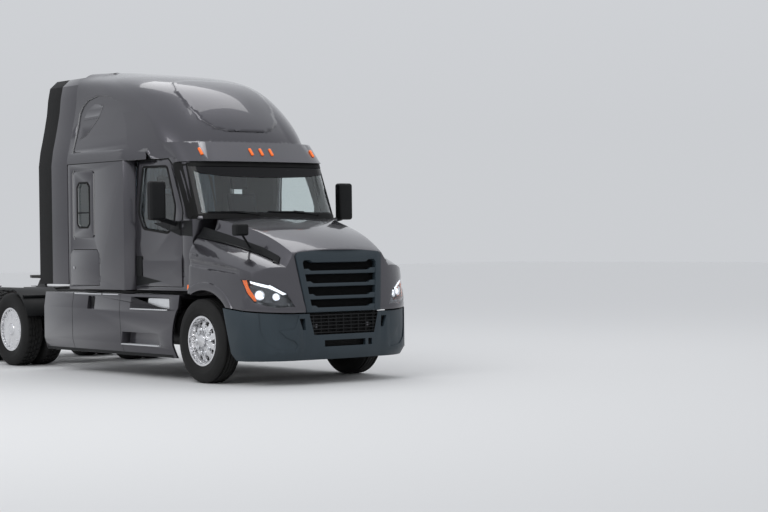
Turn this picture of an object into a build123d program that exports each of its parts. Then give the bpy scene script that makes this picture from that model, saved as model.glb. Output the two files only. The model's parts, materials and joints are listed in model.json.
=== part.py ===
from build123d import *
import math
import os

# A highway tractor: long bonnet, raised-roof sleeper, twin drive axles.
# Lengths are millimetres. While it is modelled, X = 0 is the front axle, +X forward,
# +Y the left side and Z = 0 the road. It is stored with its box centred on X and Y.

# Driving dimensions of the whole vehicle
FRONT_OVERHANG = 1270
LENGTH = 8300
AXLE_ONE = -4780
AXLE_SPACING = 1320
AXLE_TWO = AXLE_ONE - AXLE_SPACING
TAIL = FRONT_OVERHANG - LENGTH
CENTRE_SHIFT = LENGTH / 2 - FRONT_OVERHANG
SEAT_GAP = 0.3
PANEL_GAP = 8

# Tyres and rims
TYRE_R = 500
TYRE_W = 280
BEAD_R = 286
RIM_FLANGE_R = 298
RIM_W = 230
RIM_WALL = 12
FRONT_TYRE_Y = 1060
KINGPIN_Y = 895
DUAL_OUTER_Y = 1072
DUAL_INNER_Y = 732
DRUM_R = 205
SPINDLE_R = 40
KINGPIN_R = 22
RUNNING_GAP = 0.05

# Ladder frame
RAIL_Y = 430
RAIL_TOP = 1040
RAIL_H = 270
RAIL_FLANGE = 90
RAIL_WEB = 9
RAIL_FRONT = 960
CROSS_MEMBERS = (800, -1560, -2620, -3800, -4300, -5440, -6450, TAIL)

# Cab and sleeper
DOOR_Y = 1090
SLEEPER_Y = 1220
FLOOR_Z = 1085
FLOOR_T = 40
WALL_T = 62
BELT_Z = 1950
SEAM_Z = 2705
CAB_BACK = -1600
SLEEPER_BACK = -3080
FLANK_X = -1675
FIREWALL_X = -300
COWL_BACK = -460
COWL_FRONT = -270

# Cab doors
DOOR_FRONT = -532
DOOR_BOTTOM = 1135
DOOR_TOP = SEAM_Z - PANEL_GAP
DOOR_SWELL = 16
DOOR_HINGE_X = DOOR_FRONT + 30
DOOR_HINGE_Y = DOOR_Y - 11
DOOR_HINGE_R = 10
DOOR_HINGE_HEIGHTS = (1290, 1880)
HINGE_H = 60

# Luggage doors
HATCH_FRONT = -2290
HATCH_HINGE_X = HATCH_FRONT + 18
HATCH_HINGE_Y = SLEEPER_Y - 8
HATCH_HINGE_R = 8
HATCH_HINGE_HEIGHTS = (1220, 1450)

# Bonnet
HOOD_PIVOT_X = 1180
HOOD_PIVOT_Z = 680
HOOD_SKIN = 35
ARCH_X = 80
ARCH_Z = 400
ARCH_R = 705
ARCH_LIP = 95
ARCH_SWELL = 13
HINGE_BAR_R = 14

# Bumper
BUMPER_LOW = 290
BUMPER_HIGH = 900
BUMPER_FRONT_HIGH = 825
BUMPER_T = 45
CHIN_HIGH = 385
CHIN_SLOPE = 55
BUMPER_ARM_X = 1150
MESH_X = 1220

# Side fairings
FAIRING_Y = 1205
FAIRING_T = 30
FAIRING_FRONT = -480
FAIRING_BACK = -3780
FAIRING_LOW = 270
FAIRING_HIGH = 1035
FAIRING_CREASE_HIGH = 843
FAIRING_CREASE_LOW = 434

# Side extenders
EXTENDER_BACK = -3850
EXTENDER_T = 26

# Fifth wheel
PLATE_X = -5300
PLATE_Z = 1225
PLATE_PIVOT_Z = 1130
PLATE_T = 38
PLATE_HALF_W = 460
LOCK_R = 25.5
LOCK_X = PLATE_X - 30

nodes = {}


def box(x0, x1, y0, y1, z0, z1):
    """A block between two corners."""
    return Pos((x0 + x1) / 2, (y0 + y1) / 2, (z0 + z1) / 2) * Box(
        abs(x1 - x0), abs(y1 - y0), abs(z1 - z0))


def polygon(points):
    """A flat face through corner points given in space."""
    return Face(Wire.make_polygon([Vector(*p) for p in points], close=True))


def prism_xz(points, y0, y1):
    """A side-view outline, swept from y0 to y1."""
    face = polygon([(x, y0, z) for x, z in points])
    return extrude(face, abs(y1 - y0), dir=(0, 1 if y1 > y0 else -1, 0))


def prism_yz(points, x0, x1):
    """A front-view outline, swept from x0 to x1."""
    face = polygon([(x0, y, z) for y, z in points])
    return extrude(face, abs(x1 - x0), dir=(1 if x1 > x0 else -1, 0, 0))


def rod(a, b, radius):
    """A round bar between two points."""
    start, end = Vector(*a), Vector(*b)
    plane = Plane(origin=start, z_dir=end - start)
    return extrude(plane * Circle(radius), (end - start).length)


def wheel_disc(radius, y0, y1, x=0, z=TYRE_R):
    """A round slab whose axis runs across the vehicle."""
    return rod((x, y0, z), (x, y1, z), radius)


def spin_about_y(points, x, y, z=TYRE_R):
    """A ring turned from (distance outwards, radius) corner points."""
    face = polygon([(x, y + out, z + r) for out, r in points])
    return revolve(face, Axis((x, 0, z), (0, 1, 0)), 360)


def tyre(x, y):
    """One tyre: bead, bulged sidewall, rounded shoulder and flat tread."""
    w, bead = TYRE_W / 2, RIM_W / 2 - 14
    half = [(bead, BEAD_R), (bead + 1, RIM_FLANGE_R + 1), (bead + 24, RIM_FLANGE_R + 18),
            (w, BEAD_R + 105), (w - 6, TYRE_R - 45), (w - 42, TYRE_R)]
    return spin_about_y([(-out, r) for out, r in half] + half[::-1], x, y)


def rim_barrel(x, y, side):
    """A rim with a lip at each edge."""
    seat, lip = BEAD_R - SEAT_GAP, RIM_W / 2
    outline = [(-lip, seat - RIM_WALL), (-lip, RIM_FLANGE_R), (-lip + 10, RIM_FLANGE_R),
               (-lip + 13, seat), (lip - 13, seat), (lip - 10, RIM_FLANGE_R), (lip, RIM_FLANGE_R),
               (lip, seat - RIM_WALL)]
    return spin_about_y([(out * side, r) for out, r in outline], x, y)


def brake_drum(x, y, back, face, side):
    """A drum open at the back, whose face runs in to the hub."""
    return spin_about_y([(out * side, r) for out, r in (
        (back, DRUM_R), (face, DRUM_R), (face, 90), (face - 14, 90), (face - 14, DRUM_R - 16),
        (back, DRUM_R - 16))], x, y)


def front_rim(side):
    """Polished disc wheel with hand holes, its hub and brake drum."""
    y = FRONT_TYRE_Y * side
    wall_r = BEAD_R - SEAT_GAP - RIM_WALL / 2
    disc = spin_about_y([(out * side, r) for out, r in (
        (-16, wall_r), (18, wall_r), (66, 235), (92, 182), (96, 70), (78, 70), (74, 176),
        (46, 225))], 0, y)
    for i in range(10):
        turn = math.radians(36 * i)
        hole_x, hole_z = 208 * math.cos(turn), 208 * math.sin(turn)
        disc -= wheel_disc(29, y, y + 120 * side, hole_x, TYRE_R + hole_z)
    hub = spin_about_y([(out * side, r) for out, r in (
        (-60, SPINDLE_R + RUNNING_GAP), (-60, 95), (80, 95), (80, 78), (128, 74), (138, 58), (138, 0),
        (60, 0), (60, SPINDLE_R + RUNNING_GAP))], 0, y)
    return rim_barrel(0, y, side) + disc + hub + brake_drum(0, y, -95, 52, side)


def dual_rims(x, side):
    """Two rims back to back with the drum, hub and the flat round outer cover."""
    y = DUAL_OUTER_Y * side
    y_in = DUAL_INNER_Y * side
    middle = (y + y_in) / 2
    wall_r = BEAD_R - SEAT_GAP - RIM_WALL / 2
    web = spin_about_y([(out * side, r) for out, r in (
        (-75, wall_r), (75, wall_r), (20, 190), (20, 80), (-20, 80), (-20, 190))], x, middle)
    cover = spin_about_y([(out * side, r) for out, r in (
        (68, wall_r), (84, wall_r), (97, 240), (104, 0), (92, 0), (84, 236))], x, y)
    hub = spin_about_y([(out * side, r) for out, r in (
        (-175, SPINDLE_R + 20 + RUNNING_GAP), (-175, 110), (20, 110), (250, 80), (262, 66), (262, 0),
        (240, 0), (240, SPINDLE_R + 20 + RUNNING_GAP))], x, middle)
    rims = rim_barrel(x, y, side) + rim_barrel(x, y_in, -side)
    return rims + web + cover + hub + brake_drum(x, middle, -250, -20, side)


def corner_arc(front, corner, z, s, flip=False):
    """A rounded corner of a plan outline, on side s."""
    middle = (front[0] + (corner[0] - front[0]) * 0.38, front[1] + (corner[1] - front[1]) * 0.66)
    ends = [(x, y * s, z) for x, y in (front, middle, corner)]
    return ThreePointArc(*(reversed(ends) if flip else ends))


def cab_outline(inset, z):
    """The cab's plan at one height, from the curved screen back to the door pillar."""
    share = (z - BELT_Z) / (SEAM_Z - BELT_Z)
    nose = -70 - 300 * share - inset
    front = (-140 - 295 * share - inset, 830 - inset)
    corner = (-335 - 320 * share - inset, 1045 - 15 * share - inset)
    flank = (corner[0] - 130, DOOR_Y - 30 * share - inset)
    return Wire([
        ThreePointArc((front[0], -front[1], z), (nose, 0, z), (front[0], front[1], z)),
        corner_arc(front, corner, z, 1),
        Line((*corner, z), (*flank, z)),
        Line((*flank, z), (CAB_BACK, flank[1], z)),
        Line((CAB_BACK, flank[1], z), (CAB_BACK, -flank[1], z)),
        Line((CAB_BACK, -flank[1], z), (flank[0], -flank[1], z)),
        Line((flank[0], -flank[1], z), (corner[0], -corner[1], z)),
        corner_arc(front, corner, z, -1, True)])


def cab_volume(inset, floor, roof):
    """The cab as a solid block: straight below the belt, leaning inwards above it."""
    upper = Solid.make_loft([cab_outline(inset, BELT_Z), cab_outline(inset, SEAM_Z)], True)
    y = DOOR_Y - inset
    lower = box(CAB_BACK, FIREWALL_X - inset, -y, y, floor, BELT_Z)
    trim = box(CAB_BACK - 1, 200, -1300, 1300, floor, roof)
    return (upper + lower) & trim


# Side-view outline of the door, X and Z
DOOR_OUTLINE = [(CAB_BACK + PANEL_GAP, DOOR_BOTTOM), (DOOR_FRONT, DOOR_BOTTOM), (DOOR_FRONT, 2060),
                (-745, 2590), (-860, DOOR_TOP), (CAB_BACK + PANEL_GAP, DOOR_TOP)]
# Side-view outline of the door's glass
PANE_OUTLINE = [(-1450, 2610), (-900, 2600), (-690, 2110), (-720, 1880), (-850, 1795),
                (-1415, 1855), (-1520, 2030)]


def grown(points, amount):
    """An outline pushed outwards, or inwards where the amount is negative."""
    wire = Wire.make_polygon([Vector(x, 0, z) for x, z in points], close=True)
    pushed = wire.offset_2d(amount, kind=Kind.INTERSECTION)
    return Face(pushed)


def side_prism(points, amount, side, y_near=900, y_far=1400):
    """A grown side outline swept out through one flank."""
    face = Pos(0, y_near * side, 0) * grown(points, amount)
    return extrude(face, y_far - y_near, dir=(0, side, 0))


def hinge(axis, edge_x, radius, z, side):
    """A door hinge: the pocket in the body, its pin, and the leaf on the door."""
    x, y = axis
    low, high = z - HINGE_H / 2, z + HINGE_H / 2
    pocket = box(edge_x - 1, x + radius + 5, (y - radius - 5) * side, (y + 60) * side, low - 7, high + 7)
    pin = rod((x, y * side, low - 17), (x, y * side, high + 17), radius / 2)
    leaf = box(edge_x - 8, x, (y - radius) * side, (y + radius * 0.9) * side, low, high)
    leaf += rod((x, y * side, low), (x, y * side, high), radius)
    leaf -= rod((x, y * side, low - 1), (x, y * side, high + 1), radius / 2 + RUNNING_GAP)
    return pocket, pin, leaf


# Wheels, knuckles and axles
for side, hand in ((1, "left"), (-1, "right")):
    nodes[f"front_tyre_{hand}"] = tyre(0, FRONT_TYRE_Y * side)
    nodes[f"front_rim_{hand}"] = front_rim(side)
    for axle_x, order in ((AXLE_ONE, "one"), (AXLE_TWO, "two")):
        pair = [tyre(axle_x, DUAL_OUTER_Y * side), tyre(axle_x, DUAL_INNER_Y * side)]
        nodes[f"drive_tyres_{order}_{hand}"] = pair
        nodes[f"drive_rims_{order}_{hand}"] = dual_rims(axle_x, side)

    # Knuckle: a fork round the beam's eye, the stub axle and the steering arm
    y = KINGPIN_Y * side
    hub_y = FRONT_TYRE_Y * side
    fork = box(-48, 48, y - 42, y + 42, TYRE_R - 135, TYRE_R + 135)
    fork -= box(-60, 60, y - 60, y + 60, TYRE_R - 66, TYRE_R + 66)
    fork -= rod((0, y, TYRE_R - 200), (0, y, TYRE_R + 200), KINGPIN_R + RUNNING_GAP)
    web_y = y + 52 * side
    fork += box(-48, 48, min(y + 42 * side, web_y), max(y + 42 * side, web_y), TYRE_R - 135, TYRE_R + 135)
    stub = wheel_disc(SPINDLE_R, web_y, hub_y + 55 * side)
    backing = wheel_disc(DRUM_R - 22, web_y, web_y + 12 * side)
    arm = box(-230, -40, y - 30, y + 30, TYRE_R - 130, TYRE_R - 100)
    nodes[f"knuckle_{hand}"] = fork + stub + backing + arm

beam_half = [(560, 360), (700, 400), (830, 440), (KINGPIN_Y, 440), (KINGPIN_Y, 560), (820, 560),
             (660, 500), (540, 460)]
beam = prism_yz(beam_half + [(-y, z) for y, z in beam_half[::-1]], -36, 36)
for face_x in (-1, 1):
    beam -= prism_yz([(-700, 425), (-550, 385), (550, 385), (700, 425), (690, 475), (550, 435),
                      (-550, 435), (-690, 475)], 14 * face_x, 60 * face_x)
for y in (-KINGPIN_Y, KINGPIN_Y):
    beam += rod((0, y, 440), (0, y, 560), 36)
    beam += rod((0, y, TYRE_R - 134), (0, y, TYRE_R + 134), KINGPIN_R)
nodes["front_axle"] = beam

# Ladder frame with its cross members, hinge brackets, bumper arms and cab mounts
rails = []
rail_low = RAIL_TOP - RAIL_H
for side in (1, -1):
    y_web, y_in = RAIL_Y * side, (RAIL_Y - RAIL_FLANGE) * side
    rail = box(TAIL, RAIL_FRONT, y_web, y_in, rail_low, RAIL_TOP)
    rail -= box(TAIL - 1, RAIL_FRONT + 1, y_web - RAIL_WEB * side, y_in - side, rail_low + RAIL_WEB,
                RAIL_TOP - RAIL_WEB)
    rails.append(rail)
frame = rails[0] + rails[1]
web_in = RAIL_Y - RAIL_WEB
for x in CROSS_MEMBERS:
    frame += box(x, x + 60, -web_in, web_in, rail_low + 95, RAIL_TOP - 40)
for side in (1, -1):
    ear = prism_xz([(RAIL_FRONT - 60, 780), (RAIL_FRONT - 60, 900), (RAIL_FRONT, 900),
                    (HOOD_PIVOT_X - 20, HOOD_PIVOT_Z + 26), (HOOD_PIVOT_X + 22, HOOD_PIVOT_Z + 20),
                    (HOOD_PIVOT_X + 22, HOOD_PIVOT_Z - 22), (HOOD_PIVOT_X - 40, HOOD_PIVOT_Z - 22)],
                   396 * side, (RAIL_Y + 6) * side)
    frame += ear
    frame += rod((HOOD_PIVOT_X, 350 * side, HOOD_PIVOT_Z), (HOOD_PIVOT_X, 400 * side, HOOD_PIVOT_Z),
                 HINGE_BAR_R)
    frame += box(RAIL_FRONT - 120, BUMPER_ARM_X, RAIL_Y * side, 560 * side, 560, 740)
    frame += box(RAIL_FRONT - 120, RAIL_FRONT - 20, RAIL_Y * side, 470 * side, 700, 900)
    for x in (-700, -1450):
        frame += box(x - 60, x + 60, (RAIL_Y - 80) * side, (RAIL_Y + 70) * side, RAIL_TOP, FLOOR_Z)
    frame += box(-2960, -2840, (RAIL_Y - 80) * side, (RAIL_Y + 70) * side, RAIL_TOP, FLOOR_Z)
nodes["frame_rails"] = frame

# Springs, air bags and their hangers
suspension = []
for side in (1, -1):
    y = RAIL_Y * side
    leaf = Wire([ThreePointArc((-760, y - 40, 690), (0, y - 40, 560), (700, y - 40, 690)),
                 Line((700, y - 40, 690), (700, y - 40, 725)),
                 ThreePointArc((700, y - 40, 725), (0, y - 40, 610), (-760, y - 40, 725)),
                 Line((-760, y - 40, 725), (-760, y - 40, 690))])
    spring = extrude(Face(leaf), 80, dir=(0, 1, 0))
    for x in (-760, 700):
        spring += box(x - 40, x + 40, y - 45, y + 45, 680, rail_low)
    spring += box(-70, 70, y - 48, y + 48, 460, 600)
    suspension.append(spring)
    for axle in (AXLE_ONE, AXLE_TWO):
        arm = prism_xz([(axle + 560, 590), (axle + 560, 640), (axle + 90, 640), (axle - 420, 560),
                        (axle - 420, 520), (axle - 90, 585), (axle + 90, 585)], y - 40, y + 40)
        arm += box(axle + 500, axle + 600, y - 40, y + 40, 580, rail_low)
        arm += rod((axle - 360, y, 540), (axle - 360, y, rail_low), 115)
        suspension.append(arm)
nodes["suspension"] = suspension

# Drive axles with their gear housings and the shafts that turn them
driveline = rod((AXLE_ONE - 150, 0, TYRE_R + 40), (AXLE_TWO + 320, 0, TYRE_R + 48), 48)
for axle in (AXLE_ONE, AXLE_TWO):
    driveline += rod((axle, -640, TYRE_R), (axle, 640, TYRE_R), 72)
    driveline += rod((axle, -DUAL_OUTER_Y, TYRE_R), (axle, DUAL_OUTER_Y, TYRE_R), SPINDLE_R + 20)
    driveline += spin_about_y([(-190, 0), (-190, 90), (-120, 190), (120, 190), (190, 90), (190, 0)], axle, 0)
    driveline += rod((axle, 0, TYRE_R + 30), (axle + 330, 0, TYRE_R + 50), 95)
driveline += rod((AXLE_ONE + 300, 0, TYRE_R + 48), (-3000, 0, 740), 52)
driveline += rod((-3000, 0, 740), (-1492, 0, 800), 52)
nodes["driveline"] = driveline

# Engine and gearbox as plain blocks, with the radiator ahead of them
block = box(-230, 740, -320, 320, 640, 1480) + rod((-230, 0, 800), (-620, 0, 800), 235)
block += rod((-620, 0, 800), (-1490, 0, 800), 190)
block += box(150, 300, -web_in, web_in, 850, 930) + box(-1250, -1150, -web_in, web_in, 860, 930)
core = box(870, 950, -500, 500, RAIL_TOP, 1440) + box(870, 950, -325, 325, 700, RAIL_TOP)
nodes["engine"] = [block, core]

# Tanks, exhaust drum and battery box beside the rails
tanks = []
for side in (1, -1):
    tank = rod((-1980, 810 * side, 670), (-3560, 810 * side, 670), 300)
    for x in (-2100, -2740, -3420):
        tank += box(x - 30, x + 30, RAIL_Y * side, 620 * side, 800, 1000)
    tanks.append(tank)
drum = rod((-800, -760, 640), (-1800, -760, 640), 240)
drum += box(-1330, -1270, -RAIL_Y, -640, 700, 1000)
battery = box(-800, -1800, 540, 995, 420, 860)
battery += box(-1330, -1270, RAIL_Y, 545, 800, 1000)
nodes["tanks"] = tanks + [drum, battery]

# Side fairings: creased skins with step and latch recesses, carried from the rails
STEP_HIGH = [(-1580, 845), (-1570, 1000), (-700, 1000), (-660, 845)]
STEP_LOW = [(-1790, 400), (-1770, 560), (-930, 560), (-880, 400)]
LATCH = [(-2640, 830), (-2640, 1000), (-2460, 1000), (-2460, 830)]
# Each recess with its depth
STEP_DEPTH = 130
RECESSES = ((STEP_HIGH, STEP_DEPTH), (STEP_LOW, STEP_DEPTH), (LATCH, 70))
fairings = []
for side in (1, -1):
    outer = [(1000, FAIRING_HIGH), (FAIRING_Y - 28, FAIRING_HIGH), (FAIRING_Y, FAIRING_CREASE_HIGH),
             (FAIRING_Y, FAIRING_CREASE_LOW), (FAIRING_Y - 45, FAIRING_LOW), (1000, FAIRING_LOW)]
    skin_in = FAIRING_Y - FAIRING_T
    inner = [(980, FAIRING_HIGH - 22), (skin_in - 28, FAIRING_HIGH - 22), (skin_in, FAIRING_CREASE_HIGH),
             (skin_in, FAIRING_CREASE_LOW), (skin_in - 46, FAIRING_LOW - 5), (980, FAIRING_LOW - 5)]
    skin = prism_yz([(y * side, z) for y, z in outer], FAIRING_BACK, FAIRING_FRONT)
    cavity = prism_yz([(y * side, z) for y, z in inner], FAIRING_BACK + 25, FAIRING_FRONT + 10)
    for outline, depth in RECESSES:
        cavity -= side_prism(outline, 24, side, FAIRING_Y - depth - 20, 1300)
    skin -= cavity
    for outline, depth in RECESSES:
        skin -= side_prism(outline, 0, side, FAIRING_Y - depth, 1300)
    skin -= wheel_disc(612, 900 * side, 1300 * side)
    for x in (-640, -1880, -2600, -3600):
        skin += box(x - 20, x + 20, RAIL_Y * side, (FAIRING_Y - 50) * side, 980, 1020)
    fairings.append(skin)
nodes["side_fairings"] = fairings

# Bright step treads, their kick plates and the deck behind the sleeper
treads = []
for side in (1, -1):
    step_back, step_edge = (FAIRING_Y - STEP_DEPTH + 5) * side, (FAIRING_Y + 14) * side
    tread = box(-1560, -710, step_back, step_edge, 845, 857)
    plate_out = (FAIRING_Y - 45) * side
    tread += prism_xz([(-1250, 857), (-1200, 990), (-745, 990), (-700, 857)], step_back, plate_out)
    treads.append(tread)
    treads.append(box(-1780, -900, step_back, step_edge, 400, 412))
deck = box(-3120, -3980, -470, 470, RAIL_TOP, RAIL_TOP + 14)
nodes["treads_and_deck"] = treads + [deck]

# Quarter fenders, rear fenders, hangers and mud flaps
fenders = []
# Axle, first and last angle of the cover above the tyres, in degrees from straight ahead
FENDER_ARCS = ((AXLE_ONE, 20, 82), (AXLE_TWO, 98, 150))
for side in (1, -1):
    for axle, first, last in FENDER_ARCS:
        ring = wheel_disc(578, 590 * side, 1215 * side, axle) - wheel_disc(570, 580 * side, 1225 * side, axle)
        a, b = math.radians(first), math.radians(last)
        mid = (a + b) / 2
        wedge = prism_xz([(axle, TYRE_R), (axle + 900 * math.cos(a), TYRE_R + 900 * math.sin(a)),
                          (axle + 1100 * math.cos(mid), TYRE_R + 1100 * math.sin(mid)),
                          (axle + 900 * math.cos(b), TYRE_R + 900 * math.sin(b))], 500 * side, 1300 * side)
        arc = ring & wedge
        bx, bz = axle + 590 * math.cos(mid), min(TYRE_R + 590 * math.sin(mid), 985)
        arc += rod((bx, RAIL_Y * side, bz), (bx, 1180 * side, bz), 22)
        fenders.append(arc)
    flap = box(TAIL + 270, TAIL + 280, 600 * side, 1200 * side, 260, 930)
    flap += rod((TAIL + 275, RAIL_Y * side, 950), (TAIL + 275, 1190 * side, 950), 24)
    fenders.append(flap)
nodes["rear_fenders"] = fenders


def front_outline(inset, z, lean=0):
    """The nose's plan: flat ahead, rounded corners, nearly straight flanks."""
    nose, corner, cheek, flank = FRONT_OVERHANG, 1234, 875, 560
    y_corner, y_cheek, y_flank = 560, 1195, 1218
    return Wire([
        ThreePointArc((corner - inset - lean, -y_corner, z), (nose - inset - lean, 0, z),
                      (corner - inset - lean, y_corner, z)),
        ThreePointArc((corner - inset - lean, y_corner, z),
                      (1128 - inset * 0.8 - lean, 960 - inset * 0.6, z),
                      (cheek - inset * 0.3 - lean, y_cheek - inset, z)),
        Line((cheek - inset * 0.3 - lean, y_cheek - inset, z), (flank, y_flank - inset, z)),
        Line((flank, y_flank - inset, z), (-400, y_flank - inset, z)),
        Line((-400, y_flank - inset, z), (-400, -y_flank + inset, z)),
        Line((-400, -y_flank + inset, z), (flank, -y_flank + inset, z)),
        Line((flank, -y_flank + inset, z), (cheek - inset * 0.3 - lean, -y_cheek + inset, z)),
        ThreePointArc((cheek - inset * 0.3 - lean, -y_cheek + inset, z),
                      (1128 - inset * 0.8 - lean, -960 + inset * 0.6, z),
                      (corner - inset - lean, -y_corner, z))])


# Bumper: a wrapped shell with a mesh intake, a lower slot and two tow recesses
CORNER_PANEL = [(640, 815), (1078, 850), (1066, 640), (1010, 500), (900, 425), (700, 402), (660, 470),
                (700, 520), (800, 560), (880, 640), (700, 660)]
PRESSED = 12
HEIGHTS = (BUMPER_LOW, CHIN_HIGH, BUMPER_HIGH)
chin = [front_outline(CHIN_SLOPE if z == BUMPER_LOW else 0, z) for z in HEIGHTS]
chin_in = [front_outline(BUMPER_T + (CHIN_SLOPE if z == BUMPER_LOW else 0), z + step)
           for z, step in zip(HEIGHTS, (-1, 0, 1))]
bumper = Solid.make_loft(chin, True) - Solid.make_loft(chin_in, True)
bumper -= prism_xz([(-500, 200), (705, 200), (690, BUMPER_LOW), (515, BUMPER_HIGH), (515, 1000),
                    (-500, 1000)], -1300, 1300)
top_cut = prism_xz([(480, BUMPER_HIGH + 40), (515, BUMPER_HIGH), (1300, BUMPER_FRONT_HIGH - 5),
                    (1300, BUMPER_HIGH + 40)], -1300, 1300)
bumper -= top_cut
intake = prism_yz([(-440, 580), (440, 580), (500, 800), (500, 900), (-500, 900), (-500, 800)], 1100, 1400)
bumper -= intake
bumper -= box(1100, 1400, -300, 300, 440, 515)
bumper -= box(1200, 1400, 345, 405, 440, 515)
for side in (1, -1):
    bumper -= prism_yz([(y * side, z) for y, z in ((562, 775), (642, 775), (592, 642), (552, 642))],
                       1180, 1400)
# Corner panels pressed a little way in, with a crescent below the lamp
corner_layer = Solid.make_loft([front_outline(-5, z) for z in (BUMPER_LOW, BUMPER_HIGH)], True)
corner_layer -= Solid.make_loft([front_outline(PRESSED, z) for z in (BUMPER_LOW - 1, BUMPER_HIGH + 1)], True)
for side in (1, -1):
    bumper -= corner_layer & prism_yz([(y * side, z) for y, z in CORNER_PANEL], 600, 1400)
for z in range(600, 820, 40):
    bumper += box(MESH_X, MESH_X + 16, -500, 500, z, z + 12)
for y in range(-440, 441, 110):
    bumper += box(MESH_X, MESH_X + 10, y - 6, y + 6, 590, 815)
for side in (1, -1):
    bumper += box(BUMPER_ARM_X, 1215, 440 * side, 560 * side, 580, 740)
nodes["bumper"] = bumper

# Bonnet sections from the screen to the nose, half widths and heights
HOOD_COLUMNS = ("x", "z_top", "y_shoulder", "z_shoulder", "y_valley", "z_valley",
                "y_crease", "z_crease", "y_side")
HOOD_SECTIONS = (
    (-420, 2010, 900, 1975, 1030, 1800, 1160, 1560, 1195),
    (-60, 1975, 850, 1930, 965, 1720, 1172, 1510, 1205),
    (380, 1890, 760, 1835, 890, 1615, 1165, 1440, 1215),
    (800, 1760, 700, 1700, 820, 1500, 1130, 1350, 1212),
    (1120, 1600, 655, 1535, 760, 1380, 1060, 1255, 1190),
    (1300, 1480, 630, 1420, 730, 1290, 1010, 1180, 1170))
HOOD_LOW = 780


def hood_section(row, inset):
    """One closed cross-section of the bonnet and its fenders."""
    part = dict(zip(HOOD_COLUMNS, row))
    x = part["x"]
    top, ys, zs = part["z_top"] - inset, part["y_shoulder"] - inset * 0.6, part["z_shoulder"] - inset
    yv, zv = part["y_valley"] - inset, part["z_valley"] - inset * 0.7
    yc, zc, yw = part["y_crease"] - inset * 0.8, part["z_crease"] - inset * 0.7, part["y_side"] - inset
    fender_y, fender_z = (yv + yc) / 2 + 12, (zv + zc) / 2 + 28

    def half(s):
        return [Line((x, ys * s, zs), (x, yv * s, zv)),
                ThreePointArc((x, yv * s, zv), (x, fender_y * s, fender_z), (x, yc * s, zc)),
                Line((x, yc * s, zc), (x, yw * s, HOOD_LOW))]
    return Wire([ThreePointArc((x, -ys, zs), (x, 0, top), (x, ys, zs))] + half(1)
                + [Line((x, yw, HOOD_LOW), (x, -yw, HOOD_LOW))] + half(-1))


def hood_volume(inset):
    """The nose's whole volume, cut to its plan."""
    body = Solid.make_loft([hood_section(row, inset) for row in HOOD_SECTIONS])
    plan = Solid.make_loft([front_outline(inset, 700), front_outline(inset, 900),
                            front_outline(inset, 2100, 190)], True)
    return body & plan


# Grille surround and bars stand on a plane that leans back
GRILLE_LEAN = 8
GRILLE_PLANE = Plane(origin=(1184, 0, 1165), x_dir=(0, 1, 0),
                     z_dir=(math.cos(math.radians(GRILLE_LEAN)), 0, math.sin(math.radians(GRILLE_LEAN))))
GRILLE_OUTLINE = [(-540, -326), (540, -326), (628, 335), (590, 375), (300, 395), (-300, 395),
                  (-590, 375), (-628, 335)]
GRILLE_HOLE = [(-462, -310), (462, -310), (540, 250), (516, 284), (440, 284), (392, 256), (-392, 256),
               (-440, 284), (-516, 284), (-540, 250)]
GRILLE_BARS = ((140, 540), (-8, 522), (-156, 504), (-292, 486))
BAR_HALF = 19
BAR_STEP = 24


def grille_slab(points, back, front, amount=0):
    """An outline on the grille's leaning plane, as a slab."""
    wire = Wire.make_polygon([GRILLE_PLANE.from_local_coords(Vector(x, y, back)) for x, y in points],
                             close=True)
    if amount:
        wire = wire.offset_2d(amount, kind=Kind.INTERSECTION)
    return extrude(Face(wire), front - back, dir=GRILLE_PLANE.z_dir)


# The bonnet with a swelled lip round each wheel and a tapering flute along each flank
hood_outer = hood_volume(0)
swell = hood_volume(-ARCH_SWELL)
hood = hood_outer
for side in (1, -1):
    plane = Plane(origin=(ARCH_X, 1150 * side, ARCH_Z), z_dir=(0, side, 0))
    hood += swell & Solid.make_cone(ARCH_R + ARCH_LIP + 30, ARCH_R + ARCH_LIP - 50, 100, plane)
    start = Vector(-270, 1236 * side, 1436)
    run = Vector(800, 1174 * side, 1322) - start
    hood -= Solid.make_cone(76, 40, run.length, Plane(origin=start, z_dir=run))
hood -= hood_volume(HOOD_SKIN)
rear_face = Solid.make_loft([cab_outline(-30, 1500), cab_outline(-30, 2200)], True)
hood -= box(-600, -255, -1300, 1300, 700, 2300)
hood -= rear_face & box(-700, 400, -1300, 1300, 1800, 2300)
hood -= wheel_disc(ARCH_R, -1300, 1300, ARCH_X, ARCH_Z)
hood -= prism_xz([(-500, 700), (-500, 1060), (-200, 1060), (520, 915), (1400, BUMPER_FRONT_HIGH + 5),
                  (1400, 700)], -1300, 1300)
hood -= grille_slab(GRILLE_OUTLINE, -300, 200, SEAT_GAP)
hood -= box(900, 1400, -545, 545, 700, 870)

# Headlamps fill a raked opening in each front corner, seen from the side and front
LAMP_OUTLINE = [(790, 1235), (915, 1232), (1105, 1168), (1195, 1060), (1240, 915), (1150, 905),
                (985, 975)]


def lamp_prism(side, amount):
    """The lamp's side and front outlines through one front corner."""
    face = Pos(0, 640 * side, 0) * grown(LAMP_OUTLINE, amount)
    front = [(690 - amount, 880), (690 - amount, 905), (780 - amount, 1070 + amount),
             (930 - amount, 1185 + amount), (1080, 1245), (1300, 1245), (1300, 880)]
    return extrude(face, 700, dir=(0, side, 0)) & prism_yz([(y * side, z) for y, z in front], 600, 1400)


lamps = []
lamp_layer = hood_volume(5) - hood_volume(95)
for side in (1, -1):
    hood -= lamp_prism(side, SEAT_GAP)
    lamps.append(lamp_layer & lamp_prism(side, 0))
nodes["headlamps"] = lamps

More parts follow.
